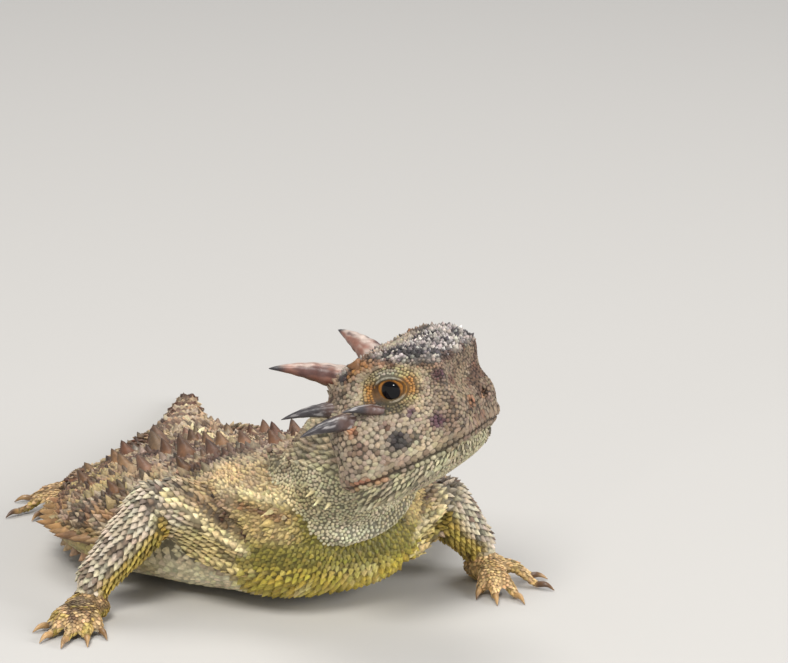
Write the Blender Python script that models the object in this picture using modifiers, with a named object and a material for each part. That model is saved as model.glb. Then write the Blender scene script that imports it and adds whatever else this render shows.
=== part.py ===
"""A life-size horned lizard: head turned to its left, propped on its forelimbs, belly and tail on the floor.

The animal faces -Y, its left side is +X, and the origin is on the flat of its belly at floor level.
Sizes are in millimetres until they are multiplied by MM. "Along" is a distance down the back, from
the middle of the belly, forwards below zero and towards the tail above it.
"""
import math
import random

import bmesh
import bpy
from mathutils import Matrix, Vector

MM = 0.001
GAP = 0.3  # what two neighbouring pieces keep between them

# The line of the back seen from above: how far it has turned from straight, in degrees, at each place along.
BACK_TURN = ((-34, -8), (-24, -5), (-8, 0), (0, 0), (13, 6), (22, 14), (30, 18), (42, 20), (52, 22))

# Trunk sections: half width, then the heights of the back, of the flank's edge and of the belly.
TRUNK_START, TRUNK_END = -31.5, 19.0
TRUNK_WIDTH = ((-31.5, 3.4), (-30.6, 6.4), (-28.5, 9.0), (-25, 10.8), (-21, 12.6), (-16, 16.6), (-10, 20.4),
               (-4, 21.0), (2, 18.9), (6, 15.4), (10, 12.0), (14, 9.4), (18, 7.2), (22, 5.6), (24, 5.0))
BACK_HEIGHT = ((-31.5, 11.0), (-30.6, 13.2), (-28.5, 15.4), (-24, 16.4), (-16, 14.6), (-8, 12.2), (0, 10.2),
               (6, 8.7), (12, 7.4), (18, 6.4), (24, 5.6))
EDGE_HEIGHT = ((-31.5, 8.6), (-28.5, 8.8), (-24, 8.0), (-18, 6.2), (-10, 4.8), (0, 4.3), (10, 4.0), (18, 3.5),
               (24, 3.1))
BELLY_HEIGHT = ((-31.5, 6.4), (-30.6, 4.6), (-28.5, 2.6), (-25, 1.0), (-20, 0.1), (-16, -0.25), (24, -0.25))

# Tail sections, in the same way; it lies on the floor.
TAIL_END = 51.0
TAIL_SPLIT = 33.0
TAIL_WIDTH = ((16, 8.4), (19, 6.8), (22, 5.6), (27, 4.2), (33, 2.9), (42, 1.7), (47, 1.1), (50.4, 0.62), (51, 0.3))
TAIL_HEIGHT = ((16, 7.0), (19, 6.4), (22, 5.9), (27, 4.9), (33, 3.7), (42, 2.3), (47, 1.6), (50.4, 1.0), (51, 0.7))

# The head stands on its own axes: forwards, to its left and upwards from the point midway between the eyes.
HEAD_PLACE = (6.0, -36.0, 26.0)
HEAD_YAW, HEAD_PITCH, HEAD_ROLL = 41.5, 17.8, -1.3

# Lines along the head, read where its sections meet the lip: half widths (W), heights (H), how far the brow
# stands back from the lip and how far the snout bulges between them.
CROWN_H = ((-7.6, 1.1), (-6, 2.4), (-4, 3.5), (-2, 4.0), (0, 3.7), (2, 3.1), (4, 2.2), (5.2, 1.6), (6, 1.1))
BROW_W = ((-7.6, 4.8), (-6, 5.7), (-4, 6.4), (-2.4, 6.8), (0, 6.7), (2, 6.2), (4, 5.3), (5.2, 4.4), (6, 3.3))
BROW_H = ((-7.6, 1.2), (-6, 2.3), (-4, 3.2), (-2.4, 4.2), (-0.8, 4.4), (0, 4.2), (2, 3.4), (4, 2.5), (5.2, 2.0),
          (6, 1.2))
BROW_THICK = ((-7.6, 0.3), (-4, 0.5), (-2.4, 0.7), (0, 1.1), (2, 1.1), (4, 0.8), (6, 0.4))
ORBIT_W = ((-7.6, 5.9), (-6, 6.7), (-4, 6.9), (-2.4, 6.2), (0, 5.6), (2, 5.3), (4, 4.6), (5.2, 3.9), (6, 2.9))
ORBIT_H = ((-7.6, -1.0), (-6, -0.3), (-4, 0.4), (-2.4, 0.9), (0, 0.6), (2, 0.1), (4, -0.5), (5.2, -0.9), (6, -1.4))
CHEEK_W = ((-7.6, 7.8), (-6, 9.1), (-4, 9.4), (-2.4, 9.0), (0, 8.0), (2, 6.8), (4, 5.3), (5.2, 4.2), (6, 3.1))
CHEEK_H = ((-7.6, -4.6), (6, -4.1))
LIP_W = ((-7.6, 7.4), (-6, 8.4), (-4, 8.7), (-2.4, 8.2), (0, 7.3), (2, 6.1), (4, 4.7), (5.2, 3.6), (6, 2.7))
LIP_H = ((-7.6, -8.6), (-6, -8.4), (-3, -8.1), (0, -7.6), (2, -7.3), (4, -6.8), (5.2, -6.5), (6, -6.2))
BROW_SETBACK = ((-7.6, 0.0), (1.5, 0.0), (4, 0.4), (5.2, 0.75), (6, 1.1))
SNOUT_BULGE = ((3, 0.0), (5.4, 0.5))
HEAD_RINGS = (-7.6, -7.0, -6.0, -4.8, -3.6, -2.4, -1.0, 0.6, 2.0, 3.2, 4.2, 4.9, 5.4)
SNOUT_CAPS = ((0.1, 0.78, 0.84), (0.15, 0.4, 0.5))  # how far forwards, then the share of width and of height left

# Lower jaw: its rim follows the lip, and these lines are its keel.
JAW_START, JAW_END = -7.0, 4.7
JAW_W = ((-7, 6.8), (-5, 7.6), (-1, 6.7), (2, 5.2), (4, 3.0), (4.7, 1.7))
JAW_H = ((-7, -10.6), (-5, -10.8), (-1, -10.0), (2, -8.9), (4, -8.0), (4.7, -7.5))
THROAT_SAG = 0.5

EYE_SIDE, EYE_RADIUS, LID_THICK = 4.0, 2.35, 0.5
EYE_OPENING = (3.9, 2.5)  # length and height between the lids
NOSTRIL = (5.65, 1.6, -3.5)
EAR = (-6.9, 8.0, -5.2)

# Horns on each side: name, root and tip on the head's axes, and root radius.
HORNS = (
    ("occipital_horn", (-5.9, 3.7, 1.5), (-11.4, 7.3, 4.6), 1.5),
    ("rear_temporal_horn", (-6.2, 6.0, -0.9), (-10.7, 9.0, -0.2), 1.0),
    ("middle_temporal_horn", (-4.5, 7.6, -2.0), (-7.8, 11.4, -1.8), 1.1),
    ("front_temporal_horn", (-1.9, 7.3, -1.3), (-3.7, 9.6, -0.6), 0.65),
)

# Neck: centre on the body's axes, half width and half height, from inside the chest to inside the head.
NECK_STATIONS = (
    ((0.2, -22.5, 9.5), 7.0, 5.4),
    ((0.7, -26.4, 12.0), 7.2, 6.0),
    ((1.6, -29.4, 15.2), 7.0, 6.2),
    ((2.9, -31.6, 18.4), 7.0, 6.1),
    ((4.4, -33.2, 20.4), 6.2, 4.8),
)
# The fold across the throat, from the lizard's right round under the chin to its left.
THROAT_FOLD = ((-5.6, -27.2, 14.2), (-4.6, -29.9, 12.0), (-2.2, -32.2, 9.6), (1.0, -33.2, 8.8), (4.6, -33.0, 10.0),
               (7.6, -31.2, 12.4), (8.8, -28.6, 14.8))
THROAT_FOLD_RADIUS = 1.0
# Tufts of spines on each side: the section they stand on, how far each is up from its side, and the longest.
NECK_TUFTS = ((1, (52, 34, 18), 2.2), (2, (20, 2, -16), 2.0))

# Limbs of each side: joints on the body's axes, the first as (side, along, height) off the back's line.
SHOULDER = (6.0, -23.0, 6.8)
ELBOWS = {"right": (-14.9, -20.6, 11.2), "left": (13.1, -23.8, 9.0)}
WRISTS = {"right": (-22.1, -19.9, 3.2), "left": (18.2, -23.0, 3.0)}
HIP, KNEE, ANKLE = (3.6, 14.4, 3.7), (14.8, 6.6, 3.0), (11.4, 16.0, 2.0)
UPPER_ARM_RADII, FOREARM_RADII = (4.7, 3.9, 2.9), (2.8, 2.6, 2.0)
THIGH_RADII, SHANK_RADII = (3.6, 3.2, 2.6), (2.5, 2.3, 1.6)

# Digits: aim outwards from straight ahead in degrees, and length without the claw.
FINGERS = {
    "right": ((-2, 3.6), (16, 5.0), (34, 5.6), (53, 5.0), (76, 3.4)),
    "left": ((-34, 3.8), (-17, 5.4), (2, 5.8), (40, 4.8), (68, 3.4)),
}
TOES = ((10, 3.2), (32, 4.6), (52, 6.2), (70, 7.2), (104, 4.4))
DIGIT_RADIUS, CLAW_LENGTH = 0.68, 2.0

SKIN_COLOURS = {
    "head": (0.52, 0.44, 0.33),
    "back": (0.50, 0.39, 0.26),
    "limb": (0.50, 0.45, 0.32),
    "horn": (0.36, 0.20, 0.13),
    "eye": (0.03, 0.02, 0.015),
}


def mm(point):
    """A point given in millimetres, as a vector in metres."""
    return Vector(point) * MM


def along_curve(table, place):
    """Reads a smooth curve through (place, value) pairs, level beyond its ends."""
    if place <= table[0][0]:
        return table[0][1]
    if place >= table[-1][0]:
        return table[-1][1]
    left = max(i for i, pair in enumerate(table) if pair[0] <= place)

    def slope(i):
        before, after = table[max(i - 1, 0)], table[min(i + 1, len(table) - 1)]
        return (after[1] - before[1]) / (after[0] - before[0])

    (x0, y0), (x1, y1) = table[left], table[left + 1]
    span = x1 - x0
    t = (place - x0) / span
    return (
        (2 * t ** 3 - 3 * t ** 2 + 1) * y0
        + (t ** 3 - 2 * t ** 2 + t) * span * slope(left)
        + (3 * t ** 2 - 2 * t ** 3) * y1
        + (t ** 3 - t ** 2) * span * slope(left + 1)
    )


def back_line(along):
    """The point of the back's line seen from above, and its turn in radians."""
    steps = max(1, int(abs(along) * 2))
    step = along / steps
    x = y = 0.0
    for i in range(steps):
        turn = math.radians(along_curve(BACK_TURN, (i + 0.5) * step))
        x += math.sin(turn) * step
        y += math.cos(turn) * step
    return x, y, math.radians(along_curve(BACK_TURN, along))


def beside_back(along, side, height):
    """A point so far to the lizard's left of the back's line, in metres."""
    x, y, turn = back_line(along)
    return mm((x + side * math.cos(turn), y - side * math.sin(turn), height))


HEAD_TURN = (
    Matrix.Rotation(math.radians(HEAD_YAW), 4, "Z")
    @ Matrix.Rotation(math.radians(-HEAD_PITCH), 4, "X")
    @ Matrix.Rotation(math.radians(HEAD_ROLL), 4, "Y")
)


def on_head(point):
    """A point given as (forwards, left, up) from between the eyes, in metres on the body's axes."""
    forwards, left, up = point
    return mm(HEAD_PLACE) + HEAD_TURN @ mm((left, -forwards, up))


def head_direction(direction):
    forwards, left, up = direction
    return (HEAD_TURN @ Vector((left, -forwards, up))).normalized()


def material(name, roughness=0.7):
    kind = bpy.data.materials.get(name)
    if kind is None:
        kind = bpy.data.materials.new(name)
        kind.use_nodes = True
        shader = kind.node_tree.nodes["Principled BSDF"]
        shader.inputs["Base Color"].default_value = (*SKIN_COLOURS[name], 1.0)
        shader.inputs["Roughness"].default_value = roughness
        shader.inputs["Metallic"].default_value = 0.0
    return kind


def new_object(name, mesh, collection):
    made = bpy.data.objects.new(name, mesh)
    collection.objects.link(made)
    return made


def mesh_from(bm, name):
    bmesh.ops.recalc_face_normals(bm, faces=bm.faces)
    mesh = bpy.data.meshes.new(name)
    bm.to_mesh(mesh)
    bm.free()
    return mesh


def loft(name, rings, collection, levels=0):
    """A closed body through rings of equally many points, smoothed by Subdivision Surface where asked."""
    bm = bmesh.new()
    rows = [[bm.verts.new(point) for point in ring] for ring in rings]
    count = len(rows[0])
    for row, following in zip(rows, rows[1:]):
        for i in range(count):
            j = (i + 1) % count
            bm.faces.new((row[i], row[j], following[j], following[i]))
    bm.faces.new(rows[0][::-1])
    bm.faces.new(rows[-1])
    made = new_object(name, mesh_from(bm, name), collection)
    if levels:
        smooth = made.modifiers.new("smooth", "SUBSURF")
        smooth.levels = smooth.render_levels = levels
        apply_modifiers(made)
    return made


def apply_modifiers(target):
    """Replaces an object's mesh by the mesh that its modifiers give."""
    graph = bpy.context.evaluated_depsgraph_get()
    mesh = bpy.data.meshes.new_from_object(target.evaluated_get(graph))
    target.modifiers.clear()
    target.data = mesh


def tube(name, points, radii, collection, resolution=1):
    """A closed tapered tube through points in metres, from a curve with filled caps."""
    curve = bpy.data.curves.new(name, "CURVE")
    curve.dimensions = "3D"
    curve.bevel_depth = MM
    curve.bevel_resolution = resolution
    curve.use_fill_caps = True
    spline = curve.splines.new("POLY")
    spline.points.add(len(points) - 1)
    for place, point, radius in zip(spline.points, points, radii):
        place.co = (*point, 1.0)
        place.radius = radius
    guide = new_object(name + "_line", curve, collection)
    graph = bpy.context.evaluated_depsgraph_get()
    mesh = bpy.data.meshes.new_from_object(guide.evaluated_get(graph))
    bpy.data.objects.remove(guide)
    bm = bmesh.new()
    bm.from_mesh(mesh)
    bmesh.ops.remove_doubles(bm, verts=bm.verts, dist=1e-6)
    return new_object(name, mesh_from(bm, name), collection)


def bent_line(points, steps):
    """Points in metres on a smooth line through the given ones, with so many steps between each pair."""
    line = []
    for i in range(len(points) - 1):
        p0, p1 = points[max(i - 1, 0)], points[i]
        p2, p3 = points[i + 1], points[min(i + 2, len(points) - 1)]
        for k in range(steps):
            t = k / steps
            line.append(
                0.5 * (2 * p1 + (p2 - p0) * t + (2 * p0 - 5 * p1 + 4 * p2 - p3) * t ** 2
                       + (3 * p1 - p0 - 3 * p2 + p3) * t ** 3)
            )
    return line + [points[-1]]


def ball(name, centre, sizes, collection, axes=Matrix.Identity(4), segments=16, rings=10):
    """An ellipsoid of the given half sizes in millimetres, on the given axes."""
    bm = bmesh.new()
    bmesh.ops.create_uvsphere(bm, u_segments=segments, v_segments=rings, radius=MM)
    bmesh.ops.scale(bm, vec=sizes, verts=bm.verts)
    bmesh.ops.transform(bm, matrix=Matrix.Translation(centre) @ axes, verts=bm.verts)
    return new_object(name, mesh_from(bm, name), collection)


def spine(name, foot, direction, length, radius, collection, root=0.7, sides=5):
    """A pointed spine that stands on foot, in metres, with its root sunk into what it grows from."""
    bm = bmesh.new()
    bmesh.ops.create_cone(bm, cap_ends=True, segments=sides, radius1=radius * MM, radius2=0.06 * radius * MM,
                          depth=(length + root) * MM)
    middle = foot + direction * ((length - root) / 2) * MM
    turn = direction.to_track_quat("Z", "Y").to_matrix().to_4x4()
    bmesh.ops.transform(bm, matrix=Matrix.Translation(middle) @ turn, verts=bm.verts)
    return new_object(name, mesh_from(bm, name), collection)


def largest_surface(target):
    """Keeps the largest closed surface of an object's mesh."""
    bm = bmesh.new()
    bm.from_mesh(target.data)
    unseen = set(bm.faces)
    bodies = []
    while unseen:
        front = [unseen.pop()]
        body = list(front)
        while front:
            face = front.pop()
            for edge in face.edges:
                for other in edge.link_faces:
                    if other in unseen:
                        unseen.remove(other)
                        front.append(other)
                        body.append(other)
        bodies.append(body)
    bodies.sort(key=lambda faces: sum(face.calc_area() for face in faces))
    loose = [face for body in bodies[:-1] for face in body]
    bmesh.ops.delete(bm, geom=loose, context="FACES")
    bmesh.ops.triangulate(bm, faces=bm.faces)
    bm.to_mesh(target.data)
    bm.free()


def combine(target, pieces, operation, solver="EXACT"):
    """Joins pieces to the target, or cuts them from it, in one Boolean, and removes them."""
    tools = bpy.data.collections.new("tools")
    bpy.context.scene.collection.children.link(tools)
    for piece in pieces:
        for home in list(piece.users_collection):
            home.objects.unlink(piece)
        tools.objects.link(piece)
    boolean = target.modifiers.new(operation.lower(), "BOOLEAN")
    boolean.operation = operation
    boolean.solver = solver
    boolean.operand_type = "COLLECTION"
    boolean.collection = tools
    bpy.context.view_layer.update()
    apply_modifiers(target)
    for piece in pieces:
        bpy.data.objects.remove(piece)
    bpy.data.collections.remove(tools)
    largest_surface(target)
    return target


def grown(source, collection, by=GAP):
    """A copy of an object swollen along its normals, to cut a neighbour clear of it."""
    bm = bmesh.new()
    bm.from_mesh(source.data)
    bm.normal_update()
    shifts = [(vert, vert.normal.copy()) for vert in bm.verts]
    for vert, normal in shifts:
        vert.co += normal * by * MM
    return new_object(source.name + "_clearance", mesh_from(bm, source.name), collection)


def floor_block(collection):
    """What lies under the floor, to cut soles and toes level."""
    bm = bmesh.new()
    bmesh.ops.create_cube(bm, size=0.3)
    bmesh.ops.translate(bm, vec=(0, 0, -0.15), verts=bm.verts)
    return new_object("under_floor", mesh_from(bm, "under_floor"), collection)


def trunk_point(along, angle):
    """A point of the trunk's or tail's skin: angle 0 is the left flank, a quarter turn the back."""
    in_tail = along > TRUNK_END
    width = along_curve(TAIL_WIDTH if in_tail else TRUNK_WIDTH, along)
    top = along_curve(TAIL_HEIGHT if in_tail else BACK_HEIGHT, along)
    bottom = along_curve(BELLY_HEIGHT, along)
    edge = along_curve(EDGE_HEIGHT, along)
    if in_tail:
        edge = min(edge, 0.45 * top)
    c, s = math.cos(angle), math.sin(angle)
    if s >= 0:
        side = math.copysign(abs(c) ** 0.92, c) * width
        height = edge + (top - edge) * s ** 0.95
    else:
        side = math.copysign(abs(c) ** 0.7, c) * width
        height = edge - (edge - bottom) * abs(s) ** 0.8
    return beside_back(along, side, max(height, 0.0))


def trunk_normal(along, angle):
    step = 0.02
    forwards = trunk_point(along + 0.3, angle) - trunk_point(along - 0.3, angle)
    round_ = trunk_point(along, angle + step) - trunk_point(along, angle - step)
    normal = forwards.cross(round_).normalized()
    outwards = trunk_point(along, angle) - beside_back(along, 0, along_curve(EDGE_HEIGHT, along) * 0.8)
    return normal if normal.dot(outwards) > 0 else -normal


def trunk_rings(start, end, count, sides):
    rings = []
    for k in range(count):
        along = start + (end - start) * k / (count - 1)
        rings.append([trunk_point(along, 2 * math.pi * i / sides) for i in range(sides)])
    return rings


def backwards(along):
    _, _, turn = back_line(along)
    return Vector((math.sin(turn), math.cos(turn), 0))


def back_spines(collection):
    """Rows of large spines on the back, staggered, the inner ones longest."""
    chance = random.Random(5)
    pieces = []
    rows = ((0.16, 1.9, -19, 14, 5.6), (0.38, 2.5, -17, 12, 5.4), (0.62, 2.2, -15, 9, 5.2), (0.82, 1.5, -13, 6, 4.8))
    for row, (share, length, start, end, pitch) in enumerate(rows):
        for sign in (-1, 1):
            along = start + (row % 2) * pitch / 2
            while along < end:
                angle = math.acos(sign * share)
                place = along + chance.uniform(-0.5, 0.5)
                normal = trunk_normal(place, angle)
                lean = (normal * 1.1 + backwards(place) * 0.75).normalized()
                size = length * chance.uniform(0.8, 1.15)
                pieces.append(spine("back_spine", trunk_point(place, angle), lean, size, 0.42 * size + 0.1, collection))
                along += pitch
    return pieces


def fringe_spines(collection):
    """The flank's two rows of pointed fringe scales on each side."""
    chance = random.Random(8)
    pieces = []
    for height, length, start, end, pitch in ((0.0, 2.2, -14.5, 8.6, 1.75), (-0.42, 1.3, -13, 6.5, 1.95)):
        for sign in (-1, 1):
            along = start
            while along < end:
                angle = height if sign > 0 else math.pi - height
                normal = trunk_normal(along, angle)
                lean = (normal + backwards(along) * 0.55).normalized()
                size = length * chance.uniform(0.85, 1.1)
                fade = min(1.0, 0.45 + 0.2 * min(along - start, end - along))
                pieces.append(spine("fringe", trunk_point(along, angle), lean, size * fade, 0.62, collection, sides=4))
                along += pitch
    return pieces


def tail_spines(start, end, collection):
    """Spines along both edges and the top of the tail."""
    pieces = []
    for angle, length in ((0.15, 1.6), (math.pi - 0.15, 1.6), (1.05, 1.2), (math.pi - 1.05, 1.2)):
        along = start
        while along < end:
            normal = trunk_normal(along, angle)
            lean = (normal + backwards(along) * 0.9).normalized()
            size = length * (1.0 - 0.55 * (along - TRUNK_END) / (TAIL_END - TRUNK_END))
            pieces.append(spine("tail_spine", trunk_point(along, angle), lean, size, 0.36 * size + 0.12, collection,
                                root=0.45, sides=4))
            along += 3.1
    return pieces


def head_ring(place):
    """The head's section at a place along the lip, from the crown round its left and back."""
    crown, brow_w, brow_h = (along_curve(t, place) for t in (CROWN_H, BROW_W, BROW_H))
    orbit_w, orbit_h = along_curve(ORBIT_W, place), along_curve(ORBIT_H, place)
    cheek_w, cheek_h = along_curve(CHEEK_W, place), along_curve(CHEEK_H, place)
    lip_w, lip_h = along_curve(LIP_W, place), along_curve(LIP_H, place)
    brow_edge = brow_h - along_curve(BROW_THICK, place)
    half = (
        (0.5 * brow_w, 0.7 * crown + 0.3 * brow_h),
        (0.84 * brow_w, brow_h),
        (brow_w, brow_edge),
        (0.4 * brow_w + 0.6 * orbit_w, 0.6 * brow_edge + 0.4 * orbit_h),
        (orbit_w, orbit_h),
        (0.45 * orbit_w + 0.55 * cheek_w, 0.55 * orbit_h + 0.45 * cheek_h),
        (cheek_w, cheek_h),
        (0.3 * cheek_w + 0.7 * lip_w + 0.25, 0.35 * cheek_h + 0.65 * lip_h),
        (lip_w, lip_h),
        (0.5 * lip_w, lip_h),
    )
    ring = [(0, crown)] + list(half) + [(0, lip_h)] + [(-w, h) for w, h in reversed(half)]
    section = []
    for w, h in ring:
        share = (h - lip_h) / (brow_h - lip_h)
        lean = along_curve(SNOUT_BULGE, place) * 4 * share * (1 - share) - along_curve(BROW_SETBACK, place) * share
        section.append((place + lean, w, h))
    return section


def make_head(collection):
    """Upper head: crown, brows, cheeks and lip, with sockets, lids, nostrils, ears and small brow spines."""
    rings = [head_ring(place) for place in HEAD_RINGS]
    middle = (along_curve(BROW_H, HEAD_RINGS[-1]) + along_curve(LIP_H, HEAD_RINGS[-1])) / 2 - 0.3
    for ahead, wide, high in SNOUT_CAPS:
        rings.append([(f + ahead, wide * w, middle + high * (h - middle)) for f, w, h in rings[len(HEAD_RINGS) - 1]])
    head = loft("head", [[on_head(point) for point in ring] for ring in rings], collection, levels=1)
    axes = HEAD_TURN
    lids = []
    cuts = []
    for sign in (-1, 1):
        eye = on_head((0, sign * EYE_SIDE, 0))
        lid = EYE_RADIUS + GAP + LID_THICK
        lids.append(ball("lids", eye, (lid, lid * 1.08, lid * 0.96), collection, axes, 16, 10))
        lids.append(spine("brow_spine", on_head((-3.2, sign * 6.3, 3.6)), head_direction((-0.9, sign * 0.45, 0.2)),
                          0.9, 0.6, collection))
        cuts.append(ball("socket", eye, (EYE_RADIUS + GAP,) * 3, collection, axes, 16, 10))
        cuts.append(ball("lid_opening", on_head((0.1, sign * (EYE_SIDE + 3.0), -0.05)),
                         (3.0, EYE_OPENING[0] / 2, EYE_OPENING[1] / 2), collection, axes, 14, 8))
        cuts.append(ball("nostril", on_head((NOSTRIL[0], sign * NOSTRIL[1], NOSTRIL[2])), (0.4, 0.75, 0.4),
                         collection, axes, 10, 6))
        cuts.append(ball("ear_hollow", on_head((EAR[0], sign * (EAR[1] + 0.4), EAR[2])), (0.9, 0.9, 1.5), collection,
                         axes, 12, 8))
    combine(head, lids, "UNION")
    combine(head, cuts, "DIFFERENCE")
    head.data.materials.append(material("head"))
    return head


def make_jaw(head, collection):
    """Lower jaw, with a row of pointed scales along each side of its keel."""
    rings = []
    count = 11
    for k in range(count):
        place = JAW_START + (JAW_END - JAW_START) * k / (count - 1)
        rim_w, rim_h = along_curve(LIP_W, place) - 0.15, along_curve(LIP_H, place) - GAP
        keel_w, keel_h = along_curve(JAW_W, place), along_curve(JAW_H, place)
        half = ((0.5 * rim_w, rim_h), (rim_w, rim_h), (0.55 * rim_w + 0.5 * keel_w, 0.45 * rim_h + 0.55 * keel_h),
                (keel_w, keel_h), (0.5 * keel_w, keel_h - THROAT_SAG))
        ring = [(0, rim_h)] + list(half) + [(0, keel_h - 1.3 * THROAT_SAG)] + [(-w, h) for w, h in reversed(half)]
        rings.append([on_head((place, w, h)) for w, h in ring])
    jaw = loft("lower_jaw", rings, collection, levels=1)
    pieces = []
    for sign in (-1, 1):
        for k in range(8):
            place = -5.8 + 1.35 * k
            foot = on_head((place, sign * (along_curve(JAW_W, place) - 0.2), along_curve(JAW_H, place) + 0.5))
            aim = head_direction((-0.35, sign * 0.8, -0.6))
            size = 1.45 - 0.08 * k
            pieces.append(spine("jaw_fringe", foot, aim, size, 0.5, collection, root=0.6, sides=4))
    combine(jaw, pieces, "UNION")
    combine(jaw, [grown(head, collection)], "DIFFERENCE")
    jaw.data.materials.append(material("head"))
    return jaw


def make_eyes(collection):
    for sign, side in ((1, "left"), (-1, "right")):
        eye = ball("eye_" + side, on_head((0, sign * EYE_SIDE, 0)), (EYE_RADIUS,) * 3, collection, HEAD_TURN, 14, 8)
        eye.data.materials.append(material("eye", 0.1))


def make_horns(head, collection):
    for name, root, tip, radius in HORNS:
        for sign, side in ((1, "left"), (-1, "right")):
            start, end = (on_head((p[0], sign * p[1], p[2])) for p in (root, tip))
            way = end - start
            rise = head_direction((0, 0, 1)) * way.length * 0.08
            points = [start + way * t - rise * math.sin(math.pi * t) for t in (-0.1, 0.15, 0.4, 0.65, 0.85, 1.0)]
            radii = [radius * r for r in (1.12, 1.0, 0.74, 0.46, 0.24, 0.05)]
            horn = tube(name + "_" + side, points, radii, collection, resolution=2)
            combine(horn, [grown(head, collection)], "DIFFERENCE")
            horn.data.materials.append(material("horn", 0.45))


def make_torso(collection):
    torso = loft("torso", trunk_rings(TRUNK_START, TRUNK_END, 23, 30), collection)
    core = grown(torso, collection)
    core.hide_render = True
    combine(torso, back_spines(collection) + fringe_spines(collection), "UNION")
    torso.data.materials.append(material("back"))
    return torso, core


def make_tail(collection):
    """Both lengths of the tail. Gives a swollen copy of them without spines, to cut the thighs clear."""
    cores = []
    for name, start, end, count in (("tail_base", TRUNK_END + GAP, TAIL_SPLIT, 8),
                                    ("tail_end", TAIL_SPLIT + GAP, TAIL_END, 9)):
        piece = loft(name, trunk_rings(start, end, count, 16), collection)
        cores.append(grown(piece, collection))
        combine(piece, tail_spines(start + 1.6, end - 2.0, collection), "UNION")
        piece.data.materials.append(material("back"))
    return cores


def neck_section(station):
    """A neck section's centre, its two half axes and the way that the neck runs there, in millimetres."""
    side = (HEAD_TURN @ Vector((1, 0, 0)) + Vector((1, 0, 0))).normalized()
    last = len(NECK_STATIONS) - 1
    centre, wide, high = NECK_STATIONS[station]
    following, before = NECK_STATIONS[min(station + 1, last)][0], NECK_STATIONS[max(station - 1, 0)][0]
    ahead = (Vector(following) - Vector(before)).normalized()
    lateral = (side - ahead * side.dot(ahead)).normalized()
    return Vector(centre), lateral * wide, lateral.cross(ahead) * high, ahead


def neck_spines(collection):
    """A tuft of spines on each side of the neck, behind the head and again before the shoulder."""
    pieces = []
    for station, angles, length in NECK_TUFTS:
        centre, half_wide, half_high, ahead = neck_section(station)
        for sign in (-1, 1):
            for k, degrees in enumerate(angles):
                angle = math.radians(degrees)
                outwards = sign * half_wide * math.cos(angle) + half_high * math.sin(angle)
                aim = (outwards.normalized() - ahead * 0.6).normalized()
                size = length * (1.0, 0.7, 0.85)[k % 3]
                pieces.append(spine("neck_spine", mm(centre + outwards * 0.96), aim, size, 0.3 * size + 0.15, collection))
    return pieces


def make_neck(core, head, jaw, collection):
    """Neck and throat, with the fold that hangs across the throat and tufts of spines."""
    rings = []
    for station in range(len(NECK_STATIONS)):
        centre, half_wide, half_high, _ = neck_section(station)
        turns = [2 * math.pi * i / 12 for i in range(12)]
        rings.append([mm(centre + half_wide * math.cos(turn) + half_high * math.sin(turn)) for turn in turns])
    neck = loft("neck", rings, collection, levels=1)
    line = bent_line([mm(p) for p in THROAT_FOLD], 2)
    radii = [THROAT_FOLD_RADIUS * (0.35 + 0.65 * math.sin(math.pi * (k + 0.5) / len(line))) for k in range(len(line))]
    combine(neck, [tube("throat_fold", line, radii, collection)] + neck_spines(collection), "UNION")
    combine(neck, [grown(head, collection), grown(jaw, collection)], "DIFFERENCE")
    cutter = new_object("torso_cut", core.data.copy(), collection)
    combine(neck, [cutter], "DIFFERENCE")
    neck.data.materials.append(material("head"))
    return neck


def limb_segment(name, ends, radii, parent, collection, kind="limb"):
    """One limb segment with rounded ends, cut clear of the solid that it grows from."""
    start, end = ends
    way = end - start
    shares = (-0.12, 0.0, 0.2, 0.4, 0.6, 0.8, 0.94, 1.04, 1.12)
    first, middle, last = radii
    swell = ((-0.12, first * 0.6), (0.0, first), (0.45, middle), (0.85, last), (0.94, last * 0.97),
             (1.04, last * 0.78), (1.12, last * 0.3))
    points = [start + way * share for share in shares]
    sizes = [along_curve(swell, share) for share in shares]
    segment = tube(name, points, sizes, collection, resolution=3)
    for cut in parent:
        combine(segment, [cut], "DIFFERENCE")
    segment.data.materials.append(material(kind))
    return segment


def make_digits(name, wrist, sign, digits, palm_reach, lift, parent, collection):
    """A hand or foot: palm, digits and claws, its soles cut level with the floor."""
    def towards(degrees):
        angle = math.radians(degrees)
        return Vector((sign * math.sin(angle), -math.cos(angle), 0))

    ahead = towards(digits[2][0])
    heel = Vector((wrist.x, wrist.y, 0))
    axes = ahead.to_track_quat("Y", "Z").to_matrix().to_4x4()
    palm_centre = heel + ahead * palm_reach * 0.5 * MM + Vector((0, 0, 1.3 * MM))
    palm = ball(name, palm_centre, (2.4, palm_reach * 0.5 + 1.3, 1.55), collection, axes, 12, 7)
    pieces = []
    for degrees, length in digits:
        way = towards(degrees)
        knuckle = heel + ahead * palm_reach * 0.62 * MM + way * 1.2 * MM
        shares = (-0.15, 0.15, 0.5, 0.8, 1.0)
        heights = (1.3, 1.3 + lift, 1.0 + lift, 0.62, 0.5)
        line = [knuckle + way * length * share * MM + Vector((0, 0, height * MM))
                for share, height in zip(shares, heights)]
        radii = [DIGIT_RADIUS * r for r in (1.15, 1.1, 1.0, 0.92, 0.62)]
        pieces.append(tube(name + "_digit", line, radii, collection))
        tip = line[-1]
        claw = [tip + way * reach * MM + Vector((0, 0, rise * MM))
                for reach, rise in ((-0.5, 0.12), (0.5, 0.22), (1.3, 0.05), (CLAW_LENGTH, -0.4))]
        pieces.append(tube(name + "_claw", claw, (0.36, 0.36, 0.24, 0.05), collection, resolution=0))
    combine(palm, pieces, "UNION")
    combine(palm, [floor_block(collection)], "DIFFERENCE")
    for cut in parent:
        combine(palm, [cut], "DIFFERENCE")
    palm.data.materials.append(material("limb"))
    return palm


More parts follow.
